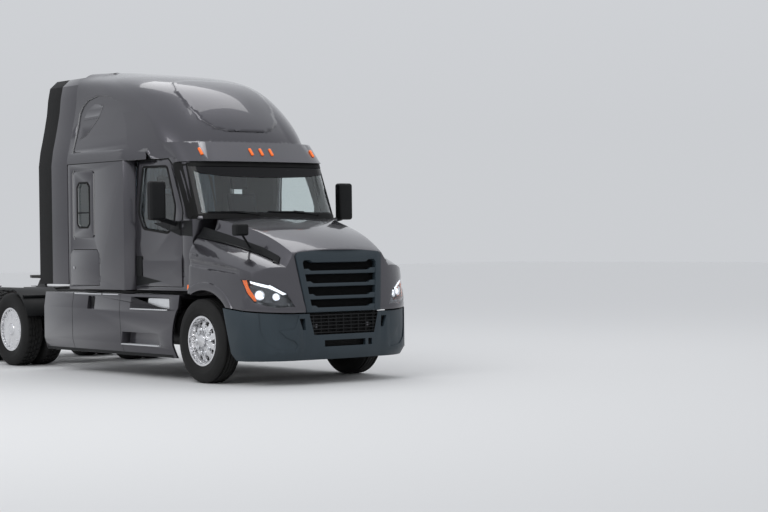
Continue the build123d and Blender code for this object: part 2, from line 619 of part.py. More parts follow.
# Inner wheel arches and the hinge arms that carry the bonnet
for side in (1, -1):
    liner = wheel_disc(ARCH_R + 6, 640 * side, 1195 * side, ARCH_X, ARCH_Z)
    liner -= wheel_disc(ARCH_R, 600 * side, 1300 * side, ARCH_X, ARCH_Z)
    liner &= prism_xz([(-240, 1050), (-240, 1300), (700, 1300), (720, 912), (520, 925)],
                      600 * side, 1300 * side)
    arm = prism_xz([(HOOD_PIVOT_X + 24, HOOD_PIVOT_Z - 24), (HOOD_PIVOT_X + 24, HOOD_PIVOT_Z + 24),
                    (HOOD_PIVOT_X - 155, HOOD_PIVOT_Z + 40), (HOOD_PIVOT_X - 155, 850), (1135, 1000),
                    (1135, 1060), (1090, 1060), (HOOD_PIVOT_X - 200, 900),
                    (HOOD_PIVOT_X - 200, HOOD_PIVOT_Z)], 360 * side, 390 * side)
    arm -= rod((HOOD_PIVOT_X, 300 * side, HOOD_PIVOT_Z), (HOOD_PIVOT_X, 420 * side, HOOD_PIVOT_Z),
               HINGE_BAR_R + RUNNING_GAP)
    bridge = box(1100, 1135, 360 * side, 640 * side, 1000, 1060)
    bridge += box(1100, 1230, 590 * side, 640 * side, 1000, 1060) & hood_outer
    hood += liner
    hood += arm + bridge
nodes["hood"] = hood

surround = grille_slab(GRILLE_OUTLINE, -55, 22) - grille_slab(GRILLE_HOLE, -60, 30)
for height, half_width in GRILLE_BARS:
    y0, y1 = height - BAR_HALF, height + BAR_HALF
    half = [(half_width, y0), (half_width, y1 + BAR_STEP), (half_width - 80, y1 + BAR_STEP),
            (half_width - 118, y1)]
    surround += grille_slab(half + [(-x, y) for x, y in half[::-1]], -48, 10)
nodes["grille"] = surround

# Black intake strips in the valleys, and the small mirror on the right-hand one
STRIP_PATH = ((-250, 1005, 1790, 78), (200, 925, 1702, 62), (740, 815, 1562, 44), (985, 770, 1470, 38))
strip_layer = hood_volume(-12) - hood_outer
hood_mirrors = []
for side in (1, -1):
    strip = rod((985, 770 * side, 1470), (1000, 806 * side, 1412), 38)
    for (x0, y0, z0, r0), (x1, y1, z1, r1) in zip(STRIP_PATH, STRIP_PATH[1:]):
        run = Vector(x1, y1 * side, z1) - Vector(x0, y0 * side, z0)
        strip += Solid.make_cone(r0, r1, run.length, Plane(origin=(x0, y0 * side, z0), z_dir=run))
        strip += Pos(x1, y1 * side, z1) * Sphere(r1)
    strip &= strip_layer
    if side < 0:
        strip += rod((560, -850, 1600), (600, -1000, 1765), 13) - hood_outer
        head = box(545, 665, -930, -1110, 1740, 1880)
        strip += fillet(head.edges(), 30)
    hood_mirrors.append(strip)
nodes["hood_mirrors"] = hood_mirrors

# Cab shell with its door and screen openings
SCREEN_LOW = 1985
SCREEN_HIGH = 2640
SCREEN_LOW_Y = 1022
SCREEN_HIGH_Y = 1006


def screen_prism(amount):
    """The windscreen opening seen from ahead."""
    half = [(SCREEN_LOW_Y + amount, SCREEN_LOW - amount), (SCREEN_HIGH_Y + amount, SCREEN_HIGH + amount)]
    return prism_yz(half + [(-y, z) for y, z in half[::-1]], -690, 300)


# The painted pieces between door and bonnet: height, front edge, outer and inner half width
COWL_STAGES = ((1085, COWL_FRONT, 1185, 1110), (1500, COWL_FRONT, 1170, 1100),
               (1880, COWL_FRONT - 60, 1040, 1000))
cab = cab_volume(0, FLOOR_Z, SEAM_Z)
inside = cab_volume(WALL_T, FLOOR_Z + FLOOR_T, SEAM_Z + 10)
back_y = DOOR_Y - WALL_T - 40
inside += box(CAB_BACK - 50, CAB_BACK + 200, -back_y, back_y, FLOOR_Z + FLOOR_T, 3000)
cab -= inside
cab -= screen_prism(0)
for side in (1, -1):
    cab -= side_prism(DOOR_OUTLINE, PANEL_GAP, side)
    stages = []
    for z, front_x, y_out, y_in in COWL_STAGES:
        corners = ((COWL_BACK, 1030), (COWL_BACK, DOOR_Y), (front_x, y_out), (front_x, y_in))
        stages.append(Wire.make_polygon([Vector(x, y * side, z) for x, y in corners], close=True))
    cab += Solid.make_loft(stages, True)
    for z in DOOR_HINGE_HEIGHTS:
        pocket, pin, _ = hinge((DOOR_HINGE_X, DOOR_HINGE_Y), DOOR_FRONT, DOOR_HINGE_R, z, side)
        cab = cab - pocket + pin
nodes["cab_shell"] = cab


def sleeper_wire(inset, z):
    """The sleeper's plan, with flanks that step in to the doors."""
    y, y_front = SLEEPER_Y - inset, DOOR_Y - inset
    x_front = CAB_BACK - SEAT_GAP if inset == 0 else CAB_BACK + 50
    back = SLEEPER_BACK + inset
    return Wire.make_polygon([
        Vector(back, -y + 60, z), Vector(back + 25, -y, z), Vector(FLANK_X, -y, z),
        Vector(x_front, -y_front, z), Vector(x_front, y_front, z), Vector(FLANK_X, y, z),
        Vector(back + 25, y, z), Vector(back, y - 60, z)], close=True)


def upright(wire, height):
    """A plan outline raised straight up."""
    return extrude(Face(wire), height, dir=(0, 0, 1))


sleeper = upright(sleeper_wire(0, FLOOR_Z), SEAM_Z - FLOOR_Z)
sleeper -= upright(sleeper_wire(WALL_T, FLOOR_Z + FLOOR_T), SEAM_Z)
HATCH_OUTLINE = [(-3010, 1135), (HATCH_FRONT, 1135), (HATCH_FRONT, 1530), (-2345, 1590), (-2955, 1590),
                 (-3010, 1530)]
BEZEL_OUTLINE = [(-2955, 1770), (-2915, 1725), (-2425, 1725), (-2385, 1770), (-2385, 2580), (-2425, 2625),
                 (-2915, 2625), (-2955, 2580)]
PORT_OUTLINE = [(-2820, 1930), (-2770, 1885), (-2570, 1885), (-2520, 1930), (-2520, 2400), (-2570, 2450),
                (-2770, 2450), (-2820, 2400)]
glass = []
for side, hand in ((1, "left"), (-1, "right")):
    sleeper -= side_prism(HATCH_OUTLINE, PANEL_GAP, side)
    sleeper -= side_prism(BEZEL_OUTLINE, 0, side, SLEEPER_Y - 14, 1400)
    sleeper += side_prism(BEZEL_OUTLINE, -28, side, SLEEPER_Y - 14, SLEEPER_Y + 2)
    sleeper -= side_prism(PORT_OUTLINE, 0, side, 900, 1400)
    glass.append(side_prism(PORT_OUTLINE, -SEAT_GAP, side, SLEEPER_Y - 24, SLEEPER_Y - 18))
    hatch = side_prism(HATCH_OUTLINE, 0, side, SLEEPER_Y - WALL_T, SLEEPER_Y)
    for z in HATCH_HINGE_HEIGHTS:
        pocket, pin, leaf = hinge((HATCH_HINGE_X, HATCH_HINGE_Y), HATCH_FRONT, HATCH_HINGE_R, z, side)
        sleeper = sleeper - pocket + pin
        hatch += leaf
    nodes[f"luggage_door_{hand}"] = hatch

    slab = (cab_volume(0, FLOOR_Z, SEAM_Z) - cab_volume(WALL_T, FLOOR_Z - 5, SEAM_Z + 5)) & side_prism(
        DOOR_OUTLINE, 0, side, 900, 1200)
    door = slab - side_prism(PANE_OUTLINE, 0, side)
    ends = []
    for x, swell_y in ((CAB_BACK + PANEL_GAP, 2), (DOOR_FRONT, DOOR_SWELL)):
        ends.append(Wire.make_polygon([Vector(x, y * side, z) for y, z in (
            (DOOR_Y - 20, DOOR_BOTTOM), (DOOR_Y + swell_y * 0.6, DOOR_BOTTOM), (DOOR_Y + swell_y, 1440),
            (DOOR_Y - 1, 1535), (DOOR_Y - 20, 1535))], close=True))
    door += Solid.make_loft(ends, True)
    handle = box(-1575, -1445, (DOOR_Y + 14) * side, DOOR_Y * side, 1255, 1495)
    door += handle
    for z in DOOR_HINGE_HEIGHTS:
        door += hinge((DOOR_HINGE_X, DOOR_HINGE_Y), DOOR_FRONT, DOOR_HINGE_R, z, side)[2]
    nodes[f"door_{hand}"] = door
    pane = (cab_volume(20, FLOOR_Z, SEAM_Z) - cab_volume(26, FLOOR_Z - 5, SEAM_Z + 5)) & side_prism(
        PANE_OUTLINE, -SEAT_GAP, side, 900, 1200)
    nodes[f"door_glass_{hand}"] = pane
    housing = box(-640, -520, 1310 * side, 1525 * side, 1940, 2410)
    housing = fillet(housing.edges(), 36)
    stalk = rod((-650, (DOOR_Y + 12) * side, 1895), (-585, 1380 * side, 1960), 30)
    foot = box(-760, -560, DOOR_Y * side, (DOOR_Y + 24) * side, 1830, 1925)
    nodes[f"mirror_{hand}"] = housing + stalk + foot
nodes["sleeper_shell"] = sleeper

screen = (cab_volume(10, FLOOR_Z, SEAM_Z) - cab_volume(17, FLOOR_Z - 5, SEAM_Z + 5)) & screen_prism(-SEAT_GAP)
nodes["fixed_glass"] = [screen] + glass

# Roof cap: plan outlines stacked upwards, the dome first and then the brow over the screen
CAP_COLUMNS = ("z", "x_nose", "x_front", "y_front", "x_corner", "y_corner", "x_shoulder", "y_shoulder",
               "x_rear", "y_rear")
CAP_REAR = SLEEPER_BACK
DOME_SECTIONS = (
    (SEAM_Z, -560, -640, 800, -900, 1070, -1690, 1222, CAP_REAR, 1222),
    (2900, -655, -735, 705, -1005, 1060, -1740, 1192, CAP_REAR, 1195),
    (3050, -715, -805, 660, -1105, 1054, -1790, 1150, CAP_REAR, 1160),
    (3200, -820, -910, 620, -1250, 1046, -1860, 1112, CAP_REAR, 1128),
    (3400, -1000, -1090, 580, -1540, 1035, -2040, 1078, CAP_REAR, 1090),
    (3600, -1245, -1335, 548, -1930, 1008, -2300, 1050, CAP_REAR, 1068),
    (3760, -1630, -1710, 485, -2320, 915, -2580, 985, CAP_REAR, 1035),
    (3860, -2200, -2260, 380, -2640, 740, -2800, 830, CAP_REAR, 925),
    (3905, -2720, -2745, 240, -2860, 420, -2960, 520, CAP_REAR, 640))
BROW_LOW = 2655
BROW_HIGH = 2900
BROW_SECTIONS = (
    (BROW_LOW, -302, -366, 800, -655, 1064, -1000, 1055, -1300, 1020),
    (BROW_HIGH, -520, -594, 792, -884, 1058, -1100, 1050, -1300, 1020))


def cap_wire(row):
    """One plan outline of the roof cap."""
    part = dict(zip(CAP_COLUMNS, row))
    z = part["z"]
    front, corner, shoulder, rear = ((part["x_" + n], part["y_" + n])
                                     for n in ("front", "corner", "shoulder", "rear"))
    return Wire([
        ThreePointArc((front[0], -front[1], z), (part["x_nose"], 0, z), (front[0], front[1], z)),
        corner_arc(front, corner, z, 1),
        Line((*corner, z), (*shoulder, z)),
        Line((*shoulder, z), (*rear, z)),
        Line((*rear, z), (rear[0], -rear[1], z)),
        Line((rear[0], -rear[1], z), (shoulder[0], -shoulder[1], z)),
        Line((shoulder[0], -shoulder[1], z), (corner[0], -corner[1], z)),
        corner_arc(front, corner, z, -1, True)])


dome = Solid.make_loft([cap_wire(row) for row in DOME_SECTIONS])
# A raised panel on the dome's brow, seen from ahead
CROWN_PROUD = 9
crown_half = [(260, 3046), (430, 3085), (560, 3190), (640, 3380), (650, 3560), (560, 3700), (300, 3745)]
crown = Pos(CROWN_PROUD, 0, 0) * dome
crown &= prism_yz(crown_half + [(-y, z) for y, z in crown_half[::-1]], -3000, -300)
brow = Solid.make_loft([cap_wire(row) for row in BROW_SECTIONS], True)
brow -= cab_volume(-2, 1900, SEAM_Z)
brow -= box(-1400, -700, -1300, 1300, BROW_LOW - 10, SEAM_Z)
cap = dome + crown + brow
# The cap's inside: plain stacked outlines, X ahead, half width ahead and at the back
LINING_SECTIONS = ((SEAM_Z - 10, -620, 780, 1140), (3000, -900, 640, 1110), (3420, -1420, 520, 1000),
                   (3700, -2020, 440, 880), (3835, -2440, 300, 560))
lining = Solid.make_loft([
    Wire.make_polygon([Vector(x, -front, z), Vector(x, front, z), Vector(x - 560, back, z),
                       Vector(SLEEPER_BACK + 55, back, z), Vector(SLEEPER_BACK + 55, -back, z),
                       Vector(x - 560, -back, z)], close=True)
    for z, x, front, back in LINING_SECTIONS], True)
cap -= lining
# Arched panels pressed into each side, each with a teardrop plate and its bar
ARCH_PANEL = [(-2975, 2850), (-2970, 3380), (-2915, 3460), (-2800, 3530), (-2565, 3575), (-2270, 3550),
              (-1940, 3445), (-1620, 3280), (-1420, 3100), (-1350, 2850)]
ARCH_FLOOR = [(1222, 2735), (1180, 2900), (1140, 3050), (1106, 3200), (1068, 3400), (1046, 3600)]
TEARDROP = [(-2876, 3020), (-2868, 3280), (-2763, 3430), (-2600, 3475), (-2400, 3450), (-2465, 3300),
            (-2714, 3070)]
TEARDROP_BAR = [(-2835, 3276), (-2835, 3304), (-2480, 3316), (-2480, 3288)]
for side in (1, -1):
    cutter = prism_yz([(y * side, z) for y, z in ARCH_FLOOR] + [(1400 * side, 3600), (1400 * side, 2735)],
                      -3060, -1200)
    cap -= cutter & side_prism(ARCH_PANEL, 0, side, 950)
    for outline, proud in ((TEARDROP, 4), (TEARDROP_BAR, 9)):
        layer = [((y + proud) * side, z) for y, z in ARCH_FLOOR[1:]]
        layer += [((y - 10) * side, z) for y, z in ARCH_FLOOR[:0:-1]]
        cap += prism_yz(layer, -3060, -2000) & side_prism(outline, 0, side, 950)
nodes["roof_cap"] = cap

# Marker lamps along the brow, and the tail lamps
fixed_lamps = []
LAMP_X = -406
LAMP_Z = 2776
LAMP_LEAN = math.degrees(math.atan2(BROW_SECTIONS[0][1] - BROW_SECTIONS[1][1], BROW_HIGH - BROW_LOW))
for y in (-838, -150, 0, 150, 838):
    x = LAMP_X - 74 * (y / 795) ** 2
    lamp = Box(30, 36, 116)
    lamp = Pos(x, y, LAMP_Z) * Rot(0, -LAMP_LEAN, 0) * fillet(lamp.edges(), 11)
    fixed_lamps.append(lamp - cap)
for side in (1, -1):
    fixed_lamps.append(box(TAIL, TAIL + 40, RAIL_Y * side, 620 * side, 830, 920))
nodes["fixed_lamps"] = fixed_lamps

# Side extenders behind the sleeper, which carry the cap's section rearwards
extenders = []
outer = [(SLEEPER_Y, 1140)] + [(row[-1], row[0]) for row in DOME_SECTIONS[:-1]]
inner = [(y - EXTENDER_T, z - (EXTENDER_T if z > 3700 else 0)) for y, z in outer]
for side in (1, -1):
    panel = prism_yz([(y * side, z) for y, z in outer + inner[::-1]], SLEEPER_BACK - 4, EXTENDER_BACK)
    panel += box(SLEEPER_BACK, SLEEPER_BACK - 25, 1090 * side, (SLEEPER_Y - 10) * side, 1200, 2700)
    extenders.append(panel)
nodes["side_extenders"] = extenders

# Fifth wheel: a rocking plate with a V throat on a slide base
throat = [(PLATE_X - 700, -180), (PLATE_X - 700, 180), (PLATE_X - 430, 120), (LOCK_X - 8, LOCK_R - 1),
          (LOCK_X - 8, 1 - LOCK_R), (PLATE_X - 430, -120)]
plate_half = [(PLATE_X + 400, 260), (PLATE_X + 250, PLATE_HALF_W), (PLATE_X - 200, PLATE_HALF_W),
              (PLATE_X - 560, 300)]
plate_edges = plate_half + [(x, -y) for x, y in plate_half[::-1]]
plate = extrude(polygon([(x, y, PLATE_Z - PLATE_T) for x, y in plate_edges]), PLATE_T, dir=(0, 0, 1))
plate -= extrude(polygon([(x, y, PLATE_Z - 200) for x, y in throat]), 260, dir=(0, 0, 1))
plate -= rod((LOCK_X, 0, PLATE_Z - 100), (LOCK_X, 0, PLATE_Z + 20), LOCK_R)
for side in (1, -1):
    pad = box(PLATE_X - 50, PLATE_X + 50, 330 * side, 380 * side, PLATE_PIVOT_Z - 30, PLATE_Z - PLATE_T)
    pad += rod((PLATE_X, 330 * side, PLATE_PIVOT_Z), (PLATE_X, 380 * side, PLATE_PIVOT_Z), 36)
    plate += pad
    plate += rod((PLATE_X, 380 * side, PLATE_PIVOT_Z), (PLATE_X, 425 * side, PLATE_PIVOT_Z), 20)
nodes["fifth_wheel_plate"] = plate
base = box(PLATE_X - 480, PLATE_X + 480, -RAIL_Y - 20, RAIL_Y + 20, RAIL_TOP, RAIL_TOP + 14)
for side in (1, -1):
    ear = prism_xz([(PLATE_X - 150, RAIL_TOP), (PLATE_X + 150, RAIL_TOP), (PLATE_X + 45, PLATE_PIVOT_Z + 35),
                    (PLATE_X - 45, PLATE_PIVOT_Z + 35)], 388 * side, 420 * side)
    ear -= rod((PLATE_X, 300 * side, PLATE_PIVOT_Z), (PLATE_X, 500 * side, PLATE_PIVOT_Z), 20.05)
    base += ear
nodes["fifth_wheel_mount"] = base

# Inside: dashboard with the steering wheel, two seats, the bunk
dash_front = FIREWALL_X - WALL_T
dash = prism_xz([(dash_front, 1500), (dash_front - 35, 1880), (-520, 1935), (-700, 1900), (-760, 1780),
                 (-620, 1500)], -1000, 1000)
column = rod((-640, 520, 1650), (-872, 520, 1816), 32)
ring_plane = Plane(origin=(-880, 520, 1822), z_dir=(-0.8, 0, 0.6))
wheel = ring_plane * (Cylinder(232, 26) - Cylinder(204, 30))
spokes = ring_plane * Pos(0, 0, -4) * (Box(420, 40, 16) + Box(40, 420, 16) + Cylinder(60, 40))
nodes["dashboard"] = dash + column + wheel + spokes
seats = []
floor_top = FLOOR_Z + FLOOR_T
for side in (1, -1):
    y = 560 * side
    pedestal = box(-1560, -1140, y - 180, y + 180, floor_top, 1560)
    cushion = box(-1600, -1070, y - 250, y + 250, 1560, 1690)
    back = prism_xz([(-1490, 1690), (-1620, 1690), (-1740, 2330), (-1650, 2350)], y - 240, y + 240)
    head = prism_xz([(-1660, 2348), (-1740, 2330), (-1775, 2530), (-1685, 2540)], y - 140, y + 140)
    seats.append(pedestal + cushion + back + head)
nodes["seats"] = seats
bunk_back = SLEEPER_BACK + WALL_T + 70
bunk_base = box(bunk_back, -2120, -SLEEPER_Y + WALL_T, SLEEPER_Y - WALL_T, 1600, 1700)
mattress = box(bunk_back, -2130, -SLEEPER_Y + WALL_T + 20, SLEEPER_Y - WALL_T - 20, 1700, 1850)
nodes["bunk"] = bunk_base + fillet(mattress.edges().filter_by(Axis.X), 40)

os.makedirs("parts", exist_ok=True)
place = Pos(CENTRE_SHIFT, 0, 0)
for name, shape in nodes.items():
    pieces = shape if isinstance(shape, list) else [shape]
    placed = [place * piece for piece in pieces]
    export_step(placed[0] if len(placed) == 1 else Compound(children=placed), f"parts/{name}.step")
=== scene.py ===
import json
import math

import bpy
from mathutils import Matrix, Vector

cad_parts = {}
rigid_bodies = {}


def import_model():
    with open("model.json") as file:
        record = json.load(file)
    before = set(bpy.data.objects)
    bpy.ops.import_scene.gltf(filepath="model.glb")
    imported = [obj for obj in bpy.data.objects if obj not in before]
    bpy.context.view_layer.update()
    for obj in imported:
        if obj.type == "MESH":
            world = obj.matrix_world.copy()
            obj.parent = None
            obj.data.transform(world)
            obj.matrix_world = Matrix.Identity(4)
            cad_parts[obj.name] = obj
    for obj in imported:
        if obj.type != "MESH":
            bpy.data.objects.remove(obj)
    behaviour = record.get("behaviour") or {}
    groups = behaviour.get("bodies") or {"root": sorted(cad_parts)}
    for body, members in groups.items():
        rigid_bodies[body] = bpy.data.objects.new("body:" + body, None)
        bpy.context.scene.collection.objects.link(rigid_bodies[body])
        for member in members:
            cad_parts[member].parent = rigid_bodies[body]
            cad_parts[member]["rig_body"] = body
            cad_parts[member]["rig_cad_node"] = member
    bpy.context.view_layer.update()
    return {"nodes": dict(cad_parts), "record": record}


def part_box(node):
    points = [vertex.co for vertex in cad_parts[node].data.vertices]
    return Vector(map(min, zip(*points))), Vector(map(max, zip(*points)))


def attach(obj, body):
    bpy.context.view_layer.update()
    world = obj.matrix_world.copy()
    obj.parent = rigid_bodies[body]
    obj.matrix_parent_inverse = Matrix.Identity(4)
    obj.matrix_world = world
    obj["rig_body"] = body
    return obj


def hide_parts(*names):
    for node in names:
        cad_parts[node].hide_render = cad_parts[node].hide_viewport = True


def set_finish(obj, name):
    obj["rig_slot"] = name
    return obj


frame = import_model()
nodes = frame["nodes"]
body_of_node = {name: obj["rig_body"] for name, obj in nodes.items()}
slot_of_node = {part["node"]: part["material_slot"] for part in frame["record"]["subparts"]}

# Sizes are metres. The front axle line gives the places of everything else.
tyre_low, tyre_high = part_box("front_tyre_left")
AXLE_X = (tyre_low.x + tyre_high.x) / 2
AXLE_Z = (tyre_low.z + tyre_high.z) / 2
SIDES = ((1, "left"), (-1, "right"))
FLIP = Matrix.Scale(-1, 4, (0, 1, 0))


def at(x, y, z):
    """A place measured from the middle of the front axle, on the road."""
    return Vector((AXLE_X + x, y, z))


def middle(node):
    """The middle of a node's box."""
    low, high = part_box(node)
    return (low + high) / 2


# Small tools of the workbench
def pick(*objs):
    """Selects only these objects, the first one active."""
    if bpy.context.object and bpy.context.object.mode != "OBJECT":
        bpy.ops.object.mode_set(mode="OBJECT")
    bpy.ops.object.select_all(action="DESELECT")
    for obj in objs:
        obj.select_set(True)
    if objs:
        bpy.context.view_layer.objects.active = objs[0]


def settle(obj, name):
    """Names a piece and moves its place into its mesh."""
    pick(obj)
    bpy.ops.object.transform_apply(location=True, rotation=True, scale=True)
    obj.name = obj.data.name = name
    return obj


def leave_edit():
    bpy.ops.object.mode_set(mode="OBJECT")


def block(name, low, high):
    """A block between two corners."""
    pick()
    low, high = Vector(low), Vector(high)
    size = Vector([abs(v) for v in high - low])
    bpy.ops.mesh.primitive_cube_add(size=1, location=(low + high) / 2, scale=size)
    return settle(bpy.context.object, name)


def bar(name, a, b, radius, sides=24, end_radius=None):
    """A round bar between two points, tapered where end_radius is given."""
    pick()
    a, b = Vector(a), Vector(b)
    turn = (b - a).to_track_quat("Z", "Y").to_euler()
    bpy.ops.mesh.primitive_cone_add(vertices=sides, radius1=radius,
                                    radius2=radius if end_radius is None else end_radius,
                                    depth=(b - a).length, location=(a + b) / 2, rotation=turn)
    return settle(bpy.context.object, name)


def ball(name, centre, radius):
    """A rounded knob."""
    pick()
    bpy.ops.mesh.primitive_uv_sphere_add(segments=24, ring_count=12, radius=radius, location=centre)
    obj = settle(bpy.context.object, name)
    smooth(obj, 60)
    return obj


def chain(name, points):
    """A line of edges through points, drawn by extruding one corner. It stays in edit mode."""
    pick()
    bpy.ops.mesh.primitive_plane_add(size=0.01)
    obj = bpy.context.object
    obj.name = obj.data.name = name
    bpy.ops.object.mode_set(mode="EDIT")
    bpy.ops.mesh.select_mode(type="VERT")
    bpy.ops.mesh.merge(type="CENTER")
    bpy.ops.transform.translate(value=points[0])
    for here, there in zip(points, points[1:]):
        bpy.ops.mesh.extrude_vertices_move(TRANSFORM_OT_translate={"value": Vector(there) - Vector(here)})
    bpy.ops.mesh.select_all(action="SELECT")
    return obj


def plate(name, points, corner=0.0):
    """A flat piece inside an outline, with rounded corners where corner is given."""
    obj = chain(name, points)
    bpy.ops.mesh.edge_face_add()
    if corner:
        bpy.ops.mesh.bevel(affect="VERTICES", offset=corner, segments=5)
    leave_edit()
    return obj


def ring_plate(name, points, width, corner):
    """A flat ring inside an outline."""
    obj = plate(name, points, corner)
    edit_faces(obj, lambda c, n: True)
    bpy.ops.mesh.inset(thickness=width, depth=0)
    bpy.ops.mesh.delete(type="FACE")
    leave_edit()
    return obj


def turned(name, profile, steps):
    """A ring turned about the crosswise axis from a loop of (distance outwards, radius) corners."""
    loop = list(profile) + [profile[0]]
    obj = chain(name, [(0, out, radius) for out, radius in loop])
    bpy.ops.mesh.spin(steps=steps, angle=2 * math.pi, center=(0, 0, 0), axis=(0, 1, 0))
    leave_edit()
    outward(obj)
    return obj


def edit_faces(obj, test):
    """Enters edit mode with the faces chosen by centre and normal."""
    pick(obj)
    for kind in (obj.data.vertices, obj.data.edges):
        for item in kind:
            item.select = False
    for face in obj.data.polygons:
        face.select = bool(test(face.center, face.normal))
    bpy.ops.object.mode_set(mode="EDIT")
    bpy.ops.mesh.select_mode(type="FACE")


def stepped(obj, test, *steps):
    """Insets the chosen faces once for each step of rim and depth."""
    edit_faces(obj, test)
    for rim, depth in steps:
        bpy.ops.mesh.inset(thickness=rim, depth=depth)
    leave_edit()


def smooth(obj, angle=35):
    pick(obj)
    bpy.ops.object.shade_smooth_by_angle(angle=math.radians(angle))


def with_modifier(obj, kind, **settings):
    """Adds one modifier and applies it."""
    pick(obj)
    mod = obj.modifiers.new("work", kind)
    for key, value in settings.items():
        setattr(mod, key, value)
    bpy.ops.object.modifier_apply(modifier=mod.name)


def bevel(obj, width, segments=2, angle=32):
    """Rounds every sharp edge."""
    with_modifier(obj, "BEVEL", width=width, segments=segments, limit_method="ANGLE",
                  angle_limit=math.radians(angle))
    smooth(obj, 40)


def thickened(obj, depth, offset=-1):
    """Gives a skin a wall, inwards from its faces unless offset says otherwise."""
    with_modifier(obj, "SOLIDIFY", thickness=depth, offset=offset)


def outward(obj):
    """Merges doubles and turns all faces outwards."""
    pick(obj)
    bpy.ops.object.mode_set(mode="EDIT")
    bpy.ops.mesh.select_all(action="SELECT")
    bpy.ops.mesh.remove_doubles(threshold=1e-5)
    bpy.ops.mesh.normals_make_consistent(inside=False)
    leave_edit()


def face_out(obj, way):
    """Turns a flat piece so that it faces a direction."""
    way = Vector(way)
    if sum(face.normal.dot(way) * face.area for face in obj.data.polygons) < 0:
        pick(obj)
        bpy.ops.object.mode_set(mode="EDIT")
        bpy.ops.mesh.select_all(action="SELECT")
        bpy.ops.mesh.flip_normals()
        leave_edit()


def sliced(obj, axis, places):
    """Cuts a piece straight through at places along one axis, so that it can bend there."""
    normal = [0, 0, 0]
    normal[axis] = 1
    pick(obj)
    bpy.ops.object.mode_set(mode="EDIT")
    for value in places:
        point = [0, 0, 0]
        point[axis] = value
        bpy.ops.mesh.select_all(action="SELECT")
        bpy.ops.mesh.bisect(plane_co=point, plane_no=normal)
    leave_edit()


def evenly(low, high, count):
    """Places between two ends, the ends left out."""
    return [low + (high - low) * i / count for i in range(1, count)]


def bent(obj, rule):
    """Moves each corner of a piece by a rule for its place."""
    for vertex in obj.data.vertices:
        vertex.co = rule(vertex.co)
    obj.data.update()


def laid(obj, node, shift):
    """Drops a flat piece from the left side onto a node, then moves it."""
    with_modifier(obj, "SHRINKWRAP", target=nodes[node], wrap_method="PROJECT", use_project_y=True,
                  use_positive_direction=False, use_negative_direction=True)
    bent(obj, lambda co: co + Vector(shift))


def copied(obj, name, matrix=None):
    """A copy with its own mesh, moved in its mesh."""
    twin = obj.copy()
    twin.data = obj.data.copy()
    twin.name = twin.data.name = name
    twin.parent = None
    twin.matrix_world = Matrix.Identity(4)
    bpy.context.scene.collection.objects.link(twin)
    if matrix is not None:
        twin.data.transform(matrix)
        if matrix.determinant() < 0:
            twin.data.flip_normals()
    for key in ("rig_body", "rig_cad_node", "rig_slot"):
        if key in twin:
            del twin[key]
    return twin


def joined(objs, name):
    """Several meshes as one piece."""
    pick(*objs)
    bpy.ops.object.join()
    obj = bpy.context.object
    obj.name = obj.data.name = name
    return obj


def repeated(obj, name, matrices):
    """Copies of a piece, one for each place, joined as one mesh in its stead."""
    twins = [copied(obj, f"{name}_{i}", matrix) for i, matrix in enumerate(matrices)]
    bpy.data.objects.remove(obj)
    return joined(twins, name)


def seated(obj, body, slot, *finishes):
    """Gives a piece its finish, its slot and the body it rides on."""
    indices = [min(face.material_index, len(finishes) - 1) for face in obj.data.polygons]
    obj.data.materials.clear()
    for finish_used in finishes:
        obj.data.materials.append(finish_used)
    obj.data.polygons.foreach_set("material_index", indices)
    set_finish(obj, slot)
    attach(obj, body)
    return obj


def on_both_sides(obj, node, slot, *finishes):
    """Seats a left-hand piece and its mirror image on the bodies of a node or pair of nodes."""
    name = obj.name
    obj.name = obj.data.name = name + "_left"
    twins = (obj, copied(obj, name + "_right", FLIP))
    for piece, (_, hand) in zip(twins, SIDES):
        seated(piece, body_of_node[node.format(hand)], slot, *finishes)
    return twins


def grown(points, amount):
    """A flat outline pushed outwards by an even margin."""
    points = [Vector(p) for p in points]
    ring = list(zip(points[-1:] + points[:-1], points, points[1:] + points[:1]))
    way = 1 if sum(a.x * b.y - b.x * a.y for _, a, b in ring) > 0 else -1
    pushed = []
    for before, here, after in ring:
        first, second = (Vector((e.y, -e.x)).normalized() * way for e in (here - before, after - here))
        pushed.append(here + (first + second) * (amount / (1 + first.dot(second))))
    return pushed


def stroke(points, width):
    """The outline of a line of even width through points."""
    points = [Vector(p) for p in points]
    edges = []
    for i, here in enumerate(points):
        before, after = points[max(i - 1, 0)], points[min(i + 1, len(points) - 1)]
        first = (here - before if i else after - here).normalized()
        second = (after - here if i < len(points) - 1 else here - before).normalized()
        normals = [Vector((-e.y, e.x)) for e in (first, second)]
        edges.append((normals[0] + normals[1]) / (1 + normals[0].dot(normals[1])) * width / 2)
    return [p + e for p, e in zip(points, edges)] + [p - e for p, e in list(zip(points, edges))[::-1]]


def mirrored(half):
    """An outline seen from ahead, closed by the mirror image of its left half."""
    return half + [(-y, z) for y, z in half[::-1]]


# Finishes
RELIEF_DEPTH = 0.001
COAT_ROUGH = 0.03
LEAST_ROUGH = 0.02


